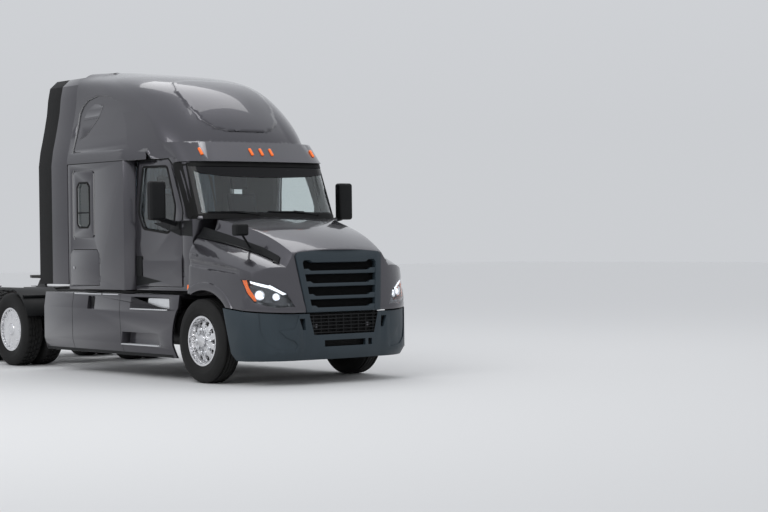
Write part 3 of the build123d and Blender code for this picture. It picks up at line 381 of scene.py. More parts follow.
def finish(name, colour, second, rough, metal=0.0, coat=0.0, patch=3.0, grain=900.0, bump=0.02,
           rough_spread=0.08, transmission=0.0, ior=1.45, glow=None, weave=0.0):
    """A surface whose colour, roughness and fine relief come from noise laid on the piece."""
    mat = bpy.data.materials.new(name)
    mat.use_nodes = True
    tree = mat.node_tree
    shader = tree.nodes["Principled BSDF"]
    place = tree.nodes.new("ShaderNodeTexCoord")
    broad = tree.nodes.new("ShaderNodeTexNoise")
    broad.inputs["Scale"].default_value = patch
    broad.inputs["Detail"].default_value = 6
    fine = tree.nodes.new("ShaderNodeTexNoise")
    fine.inputs["Scale"].default_value = grain
    fine.inputs["Detail"].default_value = 3
    for noise in (broad, fine):
        tree.links.new(place.outputs["Object"], noise.inputs["Vector"])
    tones = tree.nodes.new("ShaderNodeMix")
    tones.data_type = "RGBA"
    tones.inputs["A"].default_value = (*colour, 1)
    tones.inputs["B"].default_value = (*second, 1)
    tree.links.new(broad.outputs["Fac"], tones.inputs["Factor"])
    tree.links.new(tones.outputs["Result"], shader.inputs["Base Color"])
    spread = tree.nodes.new("ShaderNodeMapRange")
    spread.inputs["To Min"].default_value = max(rough - rough_spread, LEAST_ROUGH)
    spread.inputs["To Max"].default_value = rough + rough_spread
    tree.links.new(fine.outputs["Fac"], spread.inputs["Value"])
    tree.links.new(spread.outputs["Result"], shader.inputs["Roughness"])
    height = fine.outputs["Fac"]
    if weave:
        threads = []
        for way in ("X", "Z"):
            wave = tree.nodes.new("ShaderNodeTexWave")
            wave.bands_direction = way
            wave.inputs["Scale"].default_value = weave
            tree.links.new(place.outputs["Object"], wave.inputs["Vector"])
            threads.append(wave)
        cross = tree.nodes.new("ShaderNodeMath")
        cross.operation = "MAXIMUM"
        for i, wave in enumerate(threads):
            tree.links.new(wave.outputs["Fac"], cross.inputs[i])
        height = cross.outputs[0]
    if bump:
        relief = tree.nodes.new("ShaderNodeBump")
        relief.inputs["Strength"].default_value = bump
        relief.inputs["Distance"].default_value = RELIEF_DEPTH
        tree.links.new(height, relief.inputs["Height"])
        tree.links.new(relief.outputs["Normal"], shader.inputs["Normal"])
    shader.inputs["Metallic"].default_value = metal
    shader.inputs["Coat Weight"].default_value = coat
    shader.inputs["Coat Roughness"].default_value = COAT_ROUGH
    shader.inputs["Transmission Weight"].default_value = transmission
    shader.inputs["IOR"].default_value = ior
    if glow:
        shader.inputs["Emission Color"].default_value = (*glow[0], 1)
        shader.inputs["Emission Strength"].default_value = glow[1]
    return mat


PAINT = finish("gunmetal_paint", (0.06, 0.058, 0.067), (0.076, 0.073, 0.083), 0.3, metal=0.85, coat=1.0,
               patch=1.4, grain=2600, bump=0.015, rough_spread=0.06)
SLATE = finish("slate_plastic", (0.024, 0.036, 0.045), (0.032, 0.045, 0.055), 0.42, patch=4, grain=1400,
               bump=0.12, ior=1.38)
BLACK = finish("black_plastic", (0.006, 0.0065, 0.007), (0.01, 0.0105, 0.011), 0.45, patch=6, grain=1800,
               bump=0.15, ior=1.28)
GLOSS = finish("gloss_black", (0.004, 0.004, 0.005), (0.006, 0.006, 0.007), 0.2, patch=6, grain=700,
               bump=0.01, ior=1.3)
RUBBER = finish("seal_rubber", (0.005, 0.005, 0.005), (0.009, 0.009, 0.009), 0.6, patch=8, grain=900,
                bump=0.1, ior=1.28)
# Near-black for the seams between panels. It also covers the backing behind the grille and behind the
# bumper's nets, where it is painted shade.
SEAM_AND_SHADE = finish("panel_gap_and_painted_shade", (0.004, 0.004, 0.004), (0.008, 0.008, 0.008), 0.8, patch=8, grain=900)
CHASSIS = finish("chassis_black", (0.014, 0.014, 0.015), (0.026, 0.025, 0.024), 0.45, patch=5, grain=300,
                 bump=0.1)
CAST = finish("cast_iron", (0.035, 0.034, 0.033), (0.06, 0.056, 0.052), 0.65, metal=0.3, patch=9, grain=220,
              bump=0.35)
ALLOY = finish("polished_alloy", (0.72, 0.72, 0.74), (0.82, 0.82, 0.83), 0.24, metal=1.0, patch=20, grain=600,
               bump=0.02, rough_spread=0.07)
TREADPLATE = finish("tread_alloy", (0.66, 0.67, 0.69), (0.78, 0.79, 0.8), 0.34, metal=0.6, patch=14,
                    grain=500, bump=0.1)
STEEL = finish("bright_steel", (0.5, 0.5, 0.51), (0.62, 0.62, 0.63), 0.26, metal=1.0, patch=30, grain=800,
               bump=0.03)
TYRE = finish("tyre_rubber", (0.009, 0.009, 0.009), (0.018, 0.0175, 0.017), 0.72, patch=7, grain=420,
              bump=0.25, ior=1.32)
GLASS = finish("cab_glass", (0.84, 0.9, 0.9), (0.87, 0.93, 0.92), 0.02, patch=1, grain=3, bump=0,
               rough_spread=0.005, transmission=1.0)
LENS = finish("clear_lens", (0.95, 0.97, 0.99), (0.97, 0.98, 1.0), 0.02, patch=1, grain=4, bump=0,
              rough_spread=0.005, transmission=1.0, ior=1.3)
MIRROR = finish("mirror_glass", (0.8, 0.82, 0.84), (0.82, 0.84, 0.86), 0.03, metal=1.0, bump=0,
                rough_spread=0.01)
# The amber glow is real on the lamps. On the cowl reflector, which is no lamp, it is a painted glow.
AMBER = finish("amber_lens", (0.85, 0.13, 0.008), (0.95, 0.19, 0.015), 0.15, coat=0.6, patch=40, grain=300,
               bump=0.05, glow=((1.0, 0.16, 0.01), 0.25))
RED = finish("red_lens", (0.55, 0.01, 0.01), (0.65, 0.02, 0.015), 0.15, coat=0.6, patch=40, grain=300,
             bump=0.05, glow=((0.9, 0.02, 0.01), 0.12))
LED = finish("lamp_light", (0.9, 0.93, 1.0), (0.95, 0.97, 1.0), 0.2, patch=10, grain=100, bump=0,
             glow=((0.92, 0.96, 1.0), 0.9))
LAMP_DARK = finish("lamp_tub", (0.09, 0.095, 0.1), (0.13, 0.135, 0.14), 0.3, metal=0.8, patch=12, grain=500)
CHROME = finish("reflector_chrome", (0.8, 0.81, 0.83), (0.86, 0.87, 0.88), 0.14, metal=1.0, bump=0,
                rough_spread=0.03)
TRIM = finish("cabin_trim", (0.06, 0.06, 0.063), (0.085, 0.085, 0.088), 0.6, patch=5, grain=700, bump=0.25)
LINING = finish("cabin_lining", (0.36, 0.36, 0.365), (0.44, 0.44, 0.442), 0.85, patch=5, grain=900, bump=0.3)
FABRIC = finish("seat_fabric", (0.06, 0.062, 0.07), (0.1, 0.102, 0.112), 0.9, patch=60, grain=1200, bump=0.5,
                weave=220)
CURTAIN = finish("curtain_cloth", (0.42, 0.5, 0.58), (0.5, 0.58, 0.66), 0.9, patch=8, grain=1300, bump=0.4,
                 weave=300)
FINISH_OF_SLOT = {"body_paint": PAINT, "slate_plastic": SLATE, "black_plastic": BLACK, "frame_black": CHASSIS,
                  "alloy": ALLOY, "tread_alloy": TREADPLATE, "cast": CAST, "tyre": TYRE, "glass": GLASS,
                  "lamp_clear": LENS, "lamp_amber": AMBER, "cabin_plastic": TRIM, "seat_fabric": FABRIC}


# The rigid nodes, merged and rounded at their edges
FLAT_ANGLE = math.radians(0.4)


def dressed(node, width=0.003, angle=32, zones=(), rounded=True, cuts=()):
    """A smooth copy that stands for a CAD node. Each zone is a test of a face and its finish."""
    obj = copied(nodes[node], node + "_skin")
    pick(obj)
    bpy.ops.object.mode_set(mode="EDIT")
    bpy.ops.mesh.select_all(action="SELECT")
    bpy.ops.mesh.remove_doubles(threshold=2e-5)
    bpy.ops.mesh.dissolve_limited(angle_limit=FLAT_ANGLE)
    leave_edit()
    for axis, value in cuts:
        sliced(obj, axis, [value])
    if rounded:
        bevel(obj, width, 2, angle)
    else:
        smooth(obj, angle)
    for face in obj.data.polygons:
        face.material_index = 0
        for i, (test, _) in enumerate(zones):
            if test(face.center, face.normal):
                face.material_index = i + 1
                break
    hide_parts(node)
    slot = slot_of_node[node]
    return seated(obj, body_of_node[node], slot, FINISH_OF_SLOT[slot], *(zone[1] for zone in zones))


CABIN_HEART = at(-1.7, 0, 2.0)
HANDLE_LOW, HANDLE_HIGH = at(-1.58, 1.0915, 1.25), at(-1.44, 1.12, 1.5)


def looks_in(centre, normal):
    """True for the faces that look into the cabin."""
    return normal.dot((CABIN_HEART - centre).normalized()) > 0.3


FACING = 0.9


def looks_ahead(centre, normal):
    return normal.x > FACING


def looks_back(centre, normal):
    return normal.x < -FACING


def looks_left(centre, normal):
    return normal.y > FACING


def on_handle(centre, normal):
    return all(low < value < high for low, value, high in zip(
        HANDLE_LOW, (centre.x, abs(centre.y), centre.z), HANDLE_HIGH))


AXLE_MIDDLES = [middle(name) for name in ("front_rim_left", "drive_rims_one_left", "drive_rims_two_left")]


def behind_disc(radius, out):
    """A test for what lies inboard of a wheel's bright disc and within a radius."""
    def test(centre, normal):
        nearest = min(AXLE_MIDDLES, key=lambda axle: abs(axle.x - centre.x))
        return abs(centre.y) < out and math.hypot(centre.x - nearest.x, centre.z - nearest.z) < radius
    return test


INTAKE_LOW, INTAKE_HIGH, INTAKE_HALF = at(1.212, 0, 0.58), at(1.24, 0, 0.83), 0.505


def in_intake(centre, normal):
    """True for the faces of the bumper's wide opening."""
    return (INTAKE_LOW.x < centre.x < INTAKE_HIGH.x and abs(centre.y) < INTAKE_HALF
            and INTAKE_LOW.z < centre.z < INTAKE_HIGH.z)


FRONT_TYRE_Y = 1.06
HUB_REACH = 0.21
FRONT_DISC_Y, DRIVE_DISC_Y = FRONT_TYRE_Y + 0.055, 0.95
RUBBER_EDGE = at(-3.5, 0, 0).x
TANKS_END = at(-1.9, 0, 0).x
DECK_Z = 1.03
TAIL_LAMPS_BELOW = 1.0
SKIN = {"width": 0.004, "angle": 40}
LINED = (looks_in, LINING)
# How a node is dressed where it isn't plain, by the start of its name
DRESSES = {
    "roof_cap": {"angle": 24, "zones": [LINED], "rounded": False},
    "cab_shell": {**SKIN, "zones": [LINED]},
    "sleeper_shell": {**SKIN, "zones": [LINED]},
    "door_": {**SKIN, "zones": [(on_handle, BLACK), LINED]},
    "front_rim": {"angle": 28, "zones": [(behind_disc(HUB_REACH, FRONT_DISC_Y), CAST)], "rounded": False},
    "drive_rims": {"angle": 28, "zones": [(behind_disc(HUB_REACH, DRIVE_DISC_Y), CAST)], "rounded": False},
    "side_extenders": {"cuts": [(0, RUBBER_EDGE)], "zones": [(lambda c, n: c.x < RUBBER_EDGE, RUBBER)]},
    "bumper": {"zones": [(in_intake, BLACK)]},
    "fixed_lamps": {"zones": [(lambda c, n: c.z < TAIL_LAMPS_BELOW, RED)]},
    "treads_and_deck": {"width": 0.002, "zones": [(lambda c, n: c.z > DECK_Z, CHASSIS)]},
    "tanks": {"width": 0.004, "zones": [(lambda c, n: c.x > TANKS_END, CHASSIS)]}}
for node in nodes:
    slot = slot_of_node[node]
    if slot == "tyre" or node in ("headlamps", "seats", "bunk"):
        continue
    dress = {"rounded": slot not in ("alloy", "cast")}
    if slot == "glass":
        dress = {"angle": 20, "rounded": False}
    else:
        for start, special in DRESSES.items():
            if node.startswith(start):
                dress = special
    dressed(node, **dress)


# Tyres: one profile each for the steered and the driven wheels
SIDEWALL = [(0.104, 0.4958), (0.112, 0.488), (0.124, 0.471), (0.1335, 0.452), (0.1385, 0.428),
            (0.14, 0.398), (0.1392, 0.378), (0.1372, 0.375), (0.1352, 0.352), (0.1335, 0.349),
            (0.124, 0.318), (0.112, 0.306), (0.104, 0.302), (0.1015, 0.2865)]
SHOULDER_Y = 0.092
TREAD_FROM = AXLE_Z - 0.003
STEP_NUDGE = 0.02
GROOVE_DEPTH = 0.0125
GROOVE_SLOPE = 0.002


def tread_profile(grooves):
    """A tyre's section. Each groove is its distance from the middle and its half width."""
    groove_z = AXLE_Z - GROOVE_DEPTH
    half = [(0, AXLE_Z if all(out > half_w for out, half_w in grooves) else groove_z)]
    for out, half_w in grooves:
        if out > half_w:
            half += [(out - half_w, AXLE_Z), (out - half_w + GROOVE_SLOPE, groove_z)]
        half += [(out + half_w - GROOVE_SLOPE, groove_z), (out + half_w, AXLE_Z)]
    half += [(SHOULDER_Y, AXLE_Z)] + SIDEWALL
    return [(-out, radius) for out, radius in half[:0:-1]] + half


def tyre(name, grooves, steps, lugs):
    """A treaded tyre about its own middle. Each lug row is a band of the tread and a share of steps cut."""
    obj = turned(name, tread_profile(grooves), steps)
    for low, high, every, shift in lugs:
        def cut(c, n):
            turn = math.atan2(c.z, c.x) / (2 * math.pi) + 1
            step = int(turn * steps + (shift if c.y > 0 else 0) + STEP_NUDGE)
            return low < abs(c.y) < high and math.hypot(c.x, c.z) > TREAD_FROM and step % every == 0

        edit_faces(obj, cut)
        bpy.ops.mesh.inset(thickness=0.0012, depth=0)
        bpy.ops.mesh.inset(thickness=0.0004, depth=-GROOVE_DEPTH * 0.8)
        leave_edit()
    smooth(obj, 32)
    return obj


def tyres_at(pattern, node, places):
    """Sets copies of one tyre round a node's wheels and lets them stand for it."""
    twins = [copied(pattern, f"tyre_{i}", Matrix.Translation(place)) for i, place in enumerate(places)]
    obj = joined(twins, node + "_treaded")
    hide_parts(node)
    seated(obj, body_of_node[node], "tyre", TYRE)


DUAL_Y = (1.072, 0.732)
steer_tyre = tyre("steer_tyre", ((0.022, 0.0045), (0.062, 0.005)), 120, [(0.068, 0.093, 2, 0)])
drive_tyre = tyre("drive_tyre", ((0, 0.005), (0.045, 0.005)), 108,
                  [(0.052, 0.093, 3, 1), (0.006, 0.039, 3, 2)])
for side, hand in SIDES:
    tyres_at(steer_tyre, f"front_tyre_{hand}", [at(0, FRONT_TYRE_Y * side, AXLE_Z)])
    for order in ("one", "two"):
        node = f"drive_tyres_{order}_{hand}"
        tyres_at(drive_tyre, node, [Vector((middle(node).x, y * side, AXLE_Z)) for y in DUAL_Y])
for pattern in (steer_tyre, drive_tyre):
    bpy.data.objects.remove(pattern)


# Wheel nuts, hub bolts and cover studs
def spun(count, centre, phase=0.0):
    """Turns about a crosswise axis through a point, evenly spaced."""
    move = Matrix.Translation(centre)
    return [move @ Matrix.Rotation(2 * math.pi * i / count + phase, 4, "Y") @ move.inverted()
            for i in range(count)]


def nut(name, centre, height, radius):
    """A six-sided nut with its flanged foot, whose axis runs across the vehicle."""
    foot = bar(name + "_foot", centre, centre + Vector((0, height * 0.2, 0)), radius * 1.28, 20)
    body = bar(name + "_body", centre, centre + Vector((0, height * 0.75, 0)), radius, 6)
    cap = bar(name + "_cap", centre + Vector((0, height * 0.7, 0)), centre + Vector((0, height, 0)),
              radius * 0.62, 12, radius * 0.5)
    obj = joined([foot, body, cap], name)
    bevel(obj, radius * 0.07, 1)
    return obj


NUT_CIRCLE = 0.1425
front_hub = at(0, FRONT_TYRE_Y, AXLE_Z)
wheel_nut = nut("wheel_nut", front_hub + Vector((0, 0.093, NUT_CIRCLE)), 0.03, 0.0165)
wheel_nuts = repeated(wheel_nut, "wheel_nuts_front", spun(10, front_hub, math.pi / 10))
on_both_sides(wheel_nuts, "front_rim_{}", "alloy", CHROME)
hub_bolt = nut("hub_bolt", front_hub + Vector((0, 0.127, 0.067)), 0.009, 0.006)
hub_bolts = repeated(hub_bolt, "hub_bolts_front", spun(6, front_hub))
on_both_sides(hub_bolts, "front_rim_{}", "alloy", STEEL)
for order in ("one", "two"):
    hub = Vector((middle(f"drive_rims_{order}_left").x, DUAL_Y[0], AXLE_Z))
    stud = nut("cover_stud", hub + Vector((0, 0.095, 0.205)), 0.014, 0.011)
    studs = repeated(stud, f"cover_studs_{order}", spun(8, hub))
    on_both_sides(studs, f"drive_rims_{order}_{{}}", "alloy", CHROME)
    boss = bar(f"cover_boss_{order}", hub + Vector((0, 0.1, 0)), hub + Vector((0, 0.116, 0)), 0.085, 48, 0.07)
    stepped(boss, looks_left, (0.012, 0), (0.006, -0.006))
    bevel(boss, 0.002)
    on_both_sides(boss, f"drive_rims_{order}_{{}}", "alloy", ALLOY)

# Grille: black fins close behind the bars, and nets in the bumper's openings
GRILLE_LEAN = math.tan(math.radians(8))
GRILLE_MIDDLE_Z = 1.165
FIN_PITCH = 0.0125
FINS_A_SIDE = 42


def leaned(co):
    """Leans a place back with the grille."""
    return co + Vector((-(co.z - GRILLE_MIDDLE_Z) * GRILLE_LEAN, 0, 0))


fin = block("fin", at(1.128, -0.0015, 0.875), at(1.14, 0.0015, 1.44))
stepped(fin, looks_ahead, (0.0004, 0.004))
columns = [Matrix.Translation((0, FIN_PITCH * i, 0)) for i in range(-FINS_A_SIDE, FINS_A_SIDE + 1)]
fins = repeated(fin, "grille_fins", columns)
bent(fins, leaned)
seated(fins, "bonnet", "black_plastic", BLACK)
# A dull near-black wall just behind the fins: painted shade for the depth behind the grille.
wall = block("painted_shade_behind_grille", at(1.104, -0.56, 0.87), at(1.11, 0.56, 1.45))
stepped(wall, looks_ahead, (0.02, -0.002))
bent(wall, leaned)
seated(wall, "bonnet", "black_plastic", SEAM_AND_SHADE)


def lattice(name, low, high, pitch, wire):
    """A net of crossed flat wires in one upright plane."""
    uprights = [block("wire", (low.x, y, low.z), (high.x, y + wire, high.z))
                for y in evenly(low.y, high.y, round((high.y - low.y) / pitch))]
    rows = [block("wire", (low.x, low.y, z), (high.x - 0.001, high.y, z + wire))
            for z in evenly(low.z, high.z, round((high.z - low.z) / pitch))]
    return joined(uprights + rows, name)


WIRE = 0.004
net = lattice("intake_net", at(1.198, -0.5, 0.585), at(1.203, 0.5, 0.82), 0.02, WIRE)
slot_net = lattice("lower_slot_net", at(1.198, -0.305, 0.435), at(1.203, 0.41, 0.52), 0.018, WIRE)
nets = joined([net, slot_net], "bumper_nets")
seated(nets, "chassis", "black_plastic", BLACK)
# Dull near-black sheets behind the nets: painted shade inside the bumper's openings.
shade = joined([block("shade", at(1.15, -0.5, 0.59), at(1.156, 0.5, 0.83)),
                block("shade", at(1.16, -0.31, 0.43), at(1.166, 0.42, 0.53))], "intake_shades")
stepped(shade, looks_ahead, (0.01, -0.002))
seated(shade, "chassis", "black_plastic", SEAM_AND_SHADE)
pocket = block("tow_pocket", at(1.17, 0.54, 0.63), at(1.178, 0.655, 0.79))
stepped(pocket, looks_ahead, (0.01, -0.003))
on_both_sides(pocket, "bumper", "black_plastic", BLACK)


# Headlamps: a dark tub with two projectors, a light strip and an amber wedge under a clear cover
def lamp_skin(centre, normal):
    """True for the faces of a headlamp that show from outside."""
    return normal.x > 0.08 and normal.y * centre.y > 0.08


tub = copied(nodes["headlamps"], "headlamp_tub")
outward(tub)
edit_faces(tub, lamp_skin)
bpy.ops.mesh.separate(type="SELECTED")
leave_edit()
cover = next(obj for obj in bpy.context.selected_objects if obj != tub)
cover.name = cover.data.name = "headlamp_cover"
for piece, wall_t, used in ((tub, 0.003, LAMP_DARK), (cover, 0.0025, LENS)):
    thickened(piece, wall_t)
    smooth(piece, 30)
    seated(piece, "bonnet", "lamp_clear", used)
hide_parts("headlamps")
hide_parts("headlamps")

STRIP = ((0.925, 1.218), (1.03, 1.183), (1.10, 1.156), (1.145, 1.105), (1.178, 1.062), (1.165, 1.052),
         (1.13, 1.092), (1.085, 1.13), (1.02, 1.155), (0.935, 1.19))
WEDGE = ((0.806, 1.226), (0.872, 1.226), (0.93, 1.13), (0.988, 1.035), (1.005, 0.985), (0.986, 0.985),
         (0.912, 1.08), (0.856, 1.157))
BESIDE_Y = 1.4


def beside(points):
    """Outline points seen from the side, clear of the left flank."""
    return [at(x, BESIDE_Y, z) for x, z in points]


def laid_trim(piece, node, shift, way, depth, edge, segments, slot, used):
    """Drops a flat piece onto a node, gives it a wall and rounds it, and mirrors it."""
    laid(piece, node, shift)
    face_out(piece, way)
    thickened(piece, depth)
    bevel(piece, edge, segments)
    on_both_sides(piece, node, slot, used)


for name, outline, shift, slot, lit in (
        ("headlamp_strip", STRIP, (-0.007, -0.009, 0), "lamp_clear", LED),
        ("headlamp_amber", WEDGE, (-0.004, -0.007, 0), "lamp_amber", AMBER)):
    piece = plate(name, beside(outline))
    ends = [at(x, 0, 0).x for x in (min(p[0] for p in outline), max(p[0] for p in outline))]
    sliced(piece, 0, evenly(*ends, 12))
    laid_trim(piece, "headlamps", shift, (1, 1, 0), 0.006, 0.0015, 1, slot, lit)

# Each projector: its place behind the cover and the radius of its bowl
PROJECTORS = (("outer", at(0.985, 1.022, 1.052), 0.06), ("inner", at(1.095, 0.868, 1.03), 0.047))
aim = Vector((0.93, 0.36, 0)).normalized()
for name, spot, radius in PROJECTORS:
    bowl = bar(f"headlamp_bowl_{name}", spot - aim * 0.05, spot, radius * 0.7, 32, radius)
    stepped(bowl, lambda c, n: n.dot(aim) > 0.98, (0.005, 0), (radius * 0.22, -0.016), (radius * 0.1, -0.006))
    bevel(bowl, 0.0012, 1)
    on_both_sides(bowl, "headlamps", "lamp_clear", CHROME)
    bulb = ball(f"headlamp_light_{name}", spot - aim * 0.03, radius * 0.6)
    on_both_sides(bulb, "headlamps", "lamp_clear", LED)


# The cab's plan at any height: where its front curves and its flanks lie
def circle_x(y, a, b, c):
    """The forward place on the circle through three plan points, at one distance across."""
    (x1, y1), (x2, y2), (x3, y3) = a, b, c
    d = 2 * (x1 * (y2 - y3) + x2 * (y3 - y1) + x3 * (y1 - y2))
    s1, s2, s3 = x1 * x1 + y1 * y1, x2 * x2 + y2 * y2, x3 * x3 + y3 * y3
    cx = (s1 * (y2 - y3) + s2 * (y3 - y1) + s3 * (y1 - y2)) / d
    cy = (s1 * (x3 - x2) + s2 * (x1 - x3) + s3 * (x2 - x1)) / d
    return cx + math.sqrt(max(math.hypot(x1 - cx, y1 - cy) ** 2 - (y - cy) ** 2, 0))


BELT_Z, SEAM_Z, DOOR_Y = 1.95, 2.705, 1.09
FLANK_RUN = 0.13


def cab_plan(z):
    """The corners of the cab's plan: nose, front, corner and the start of its flank."""
    share = max((z - BELT_Z) / (SEAM_Z - BELT_Z), 0)
    corner = (-0.335 - 0.32 * share, 1.045 - 0.015 * share)
    return (-0.07 - 0.3 * share, (-0.14 - 0.295 * share, 0.83), corner,
            (corner[0] - FLANK_RUN, DOOR_Y - 0.03 * share))


def screen_x(y, z):
    """How far forward the cab's front lies."""
    nose, front, corner, flank = cab_plan(z)
    y = abs(y)
    if y <= front[1]:
        return circle_x(y, (front[0], -front[1]), (nose, 0), front)
    if y <= corner[1]:
        mid = (front[0] + (corner[0] - front[0]) * 0.38, front[1] + (corner[1] - front[1]) * 0.66)
        return circle_x(y, front, mid, corner)
    return corner[0] - FLANK_RUN * min((y - corner[1]) / (flank[1] - corner[1]), 1)


def cab_y(x, z):
    """How far out the cab's side lies."""
    _, _, corner, flank = cab_plan(z)
    share = (x - AXLE_X - flank[0]) / FLANK_RUN
    return flank[1] + (corner[1] - flank[1]) * min(max(share, 0), 1)


def on_screen(obj, proud, depth):
    """Bends an upright flat piece round the cab's front and gives it a wall."""
    bent(obj, lambda co: Vector((at(screen_x(co.y, co.z) + proud, 0, 0).x, co.y, co.z)))
    face_out(obj, (1, 0, 0))
    thickened(obj, depth)


def on_side(obj, rule, proud, depth):
    """Bends a flat side piece onto the left flank and gives it a wall."""
    bent(obj, lambda co: Vector((co.x, rule(co.x, co.z) + proud, co.z)))
    face_out(obj, (0, 1, 0))
    thickened(obj, depth)


def facing(points):
    """Outline points seen from ahead, given as distance across and height."""
    return [at(0, y, z) for y, z in points]


def sideways(points):
    """Outline points seen from the side, given as distance ahead of the axle and height."""
    return [at(x, 0, z) for x, z in points]


# Windscreen: a black printed border on the glass, a black band across its top that is painted shade of the
# sun visors inside, a rubber seal round it
SCREEN_SET_BACK = 0.0087
PRINT_DEPTH = 0.0006
BEND_PLACES = evenly(-1.02, 1.02, 48)
border = ring_plate("screen_border", facing(mirrored([(1.022, 1.985), (1.006, 2.64)])), 0.042, 0.05)
sliced(border, 1, BEND_PLACES)
on_screen(border, -SCREEN_SET_BACK, PRINT_DEPTH)
# The dark band across the top of the glass is painted shade: it stands for the shade of the sun visors inside
# the cab.
VISOR_SHADE_BAND = [(0.985, 2.62), (0.972, 2.545), (0.9, 2.5), (0.6, 2.47), (0.25, 2.458)]
band = plate("painted_visor_shade", facing(VISOR_SHADE_BAND + [(0, 2.455)] + [(-y, z) for y, z in VISOR_SHADE_BAND[::-1]]))
sliced(band, 1, BEND_PLACES)
sliced(band, 2, [2.5, 2.56])
on_screen(band, -SCREEN_SET_BACK, PRINT_DEPTH)
border = joined([border, band], "screen_border")
seated(border, "chassis", "black_plastic", GLOSS)
seal = ring_plate("screen_seal", facing(mirrored([(1.076, 1.95), (1.064, 2.652)])), 0.058, 0.02)
sliced(seal, 1, BEND_PLACES + [-1.045, -1.03, 1.03, 1.045])
on_screen(seal, 0.003, 0.005)
seated(seal, "chassis", "black_plastic", RUBBER)
sensor = block("screen_sensor", at(-0.37, 0.22, 2.5), at(-0.33, 0.36, 2.56))
bevel(sensor, 0.008, 3)
stepped(sensor, looks_ahead, (0.006, -0.002))
seated(sensor, "chassis", "cabin_plastic", LINING)

# Wipers: each blade's two ends and its pivot, distance across and height
WIPER_PROUD = 0.006
WIPERS = (((-0.93, 2.035), (-0.3, 2.026), (-0.27, 2.004)), ((-0.12, 2.04), (0.62, 2.022), (0.66, 2.0)))
wiper_pieces = []
for (y0, z0), (y1, z1), (yp, zp) in WIPERS:
    places = evenly(min(y0, y1), max(y0, y1), 24)
    mid_y, mid_z = (y0 + y1) / 2, (z0 + z1) / 2
    # The blade, its arm and its backing bar: two ends, width, height above the glass and thickness
    for a, b, width, proud, depth in (
            ((y0, z0), (y1, z1), 0.012, WIPER_PROUD, 0.014),
            ((yp, zp), (mid_y + 0.02, mid_z + 0.012), 0.018, WIPER_PROUD + 0.008, 0.007),
            ((y0 * 0.75 + y1 * 0.25, mid_z + 0.005), (y0 * 0.25 + y1 * 0.75, mid_z + 0.005), 0.014,
             WIPER_PROUD + 0.004, 0.004)):
        piece = plate("wiper", facing(stroke((a, b), width)))
        sliced(piece, 1, places)
        on_screen(piece, proud, depth)
        wiper_pieces.append(piece)
    pivot_x = screen_x(yp, zp)
    pivot = bar("wiper_pivot", at(pivot_x - 0.01, yp, zp), at(pivot_x + 0.02, yp, zp), 0.016, 20)
    wiper_pieces.append(pivot)
wipers = joined(wiper_pieces, "wipers")
bevel(wipers, 0.0012, 1)
seated(wipers, "chassis", "black_plastic", BLACK)

def flank_trim(obj, rule, proud, depth, node, slot, used, edge=0.0, segments=2, cuts=()):
    """Lays a flat side piece on the left flank, rounds its edges where edge is given, and mirrors it."""
    if cuts:
        sliced(obj, 2, cuts)
    on_side(obj, rule, proud, depth)
    if edge:
        bevel(obj, edge, segments)
    on_both_sides(obj, node, slot, used)


def flat_at(y):
    """A rule for a flank that stands upright at one distance out."""
    return lambda x, z: y


# Door trim: window seal, mirror sail, front seal, handle cup
PANE = [(-1.45, 2.61), (-0.9, 2.6), (-0.69, 2.11), (-0.72, 1.88), (-0.85, 1.795), (-1.415, 1.855),
        (-1.52, 2.03)]
seal = ring_plate("door_window_seal", sideways(grown(PANE, 0.022)), 0.03, 0.05)
flank_trim(seal, cab_y, 0.004, 0.006, "door_{}", "black_plastic", RUBBER, 0.0018, cuts=[BELT_Z, 2.2, 2.4])
SAIL = [(-1.16, 1.912), (-0.7, 1.936), (-0.545, 1.928), (-0.545, 1.75), (-0.71, 1.792), (-1.02, 1.874)]
sail = plate("mirror_sail", sideways(SAIL), 0.012)
flank_trim(sail, cab_y, 0.013, 0.014, "door_{}", "black_plastic", BLACK, 0.003)
EDGE = [(-1.59, 2.699), (-0.87, 2.699), (-0.735, 2.6), (-0.518, 2.06), (-0.516, 1.94)]
edge_seal = plate("door_front_seal", sideways(stroke(EDGE, 0.02)))
flank_trim(edge_seal, cab_y, 0.003, 0.006, "cab_shell", "black_plastic", RUBBER, 0.0015, 1,
           evenly(1.94, 2.7, 16))
CUP = [(-1.595, 1.24), (-1.425, 1.24), (-1.425, 1.51), (-1.595, 1.51)]
cup = ring_plate("door_handle_cup", sideways(CUP), 0.016, 0.03)
flank_trim(cup, flat_at(DOOR_Y), 0.003, 0.004, "door_{}", "black_plastic", BLACK, 0.001, 1)
COWL_TRIM = [(-0.522, 1.935), (-0.308, 1.93), (-0.306, 1.742), (-0.522, 1.756)]
cowl_trim = plate("cowl_trim", beside(COWL_TRIM))
sliced(cowl_trim, 0, evenly(at(-0.522, 0, 0).x, at(-0.306, 0, 0).x, 6))
sliced(cowl_trim, 2, evenly(1.742, 1.935, 8))
laid_trim(cowl_trim, "cab_shell", (0, 0.004, 0), (0, 1, 0), 0.006, 0.0015, 1, "black_plastic", BLACK)
# Small lamps and a reflector: an amber reflector low on the cowl, whose glow is painted because it is no
# lamp, and a clear lamp on the bonnet's flank
for name, node, outline, used in (
        ("cowl_reflector", "cab_shell", [(-0.43, 1.1), (-0.4, 1.1), (-0.395, 1.16), (-0.425, 1.16)], AMBER),
        ("flank_repeater", "hood", [(-0.19, 1.525), (-0.07, 1.5), (-0.07, 1.525), (-0.19, 1.55)], LENS)):
    piece = plate(name, beside(outline), 0.005)
    laid_trim(piece, node, (0, 0.006, 0), (0, 1, 0), 0.008, 0.002, 2, "lamp_amber", used)


# Sleeper and fairing trim: flat strips on their surfaces
FAIRING_Y = 1.205
CREASES = (0.434, 0.843)
SLEEPER_FLANK = flat_at(1.22)


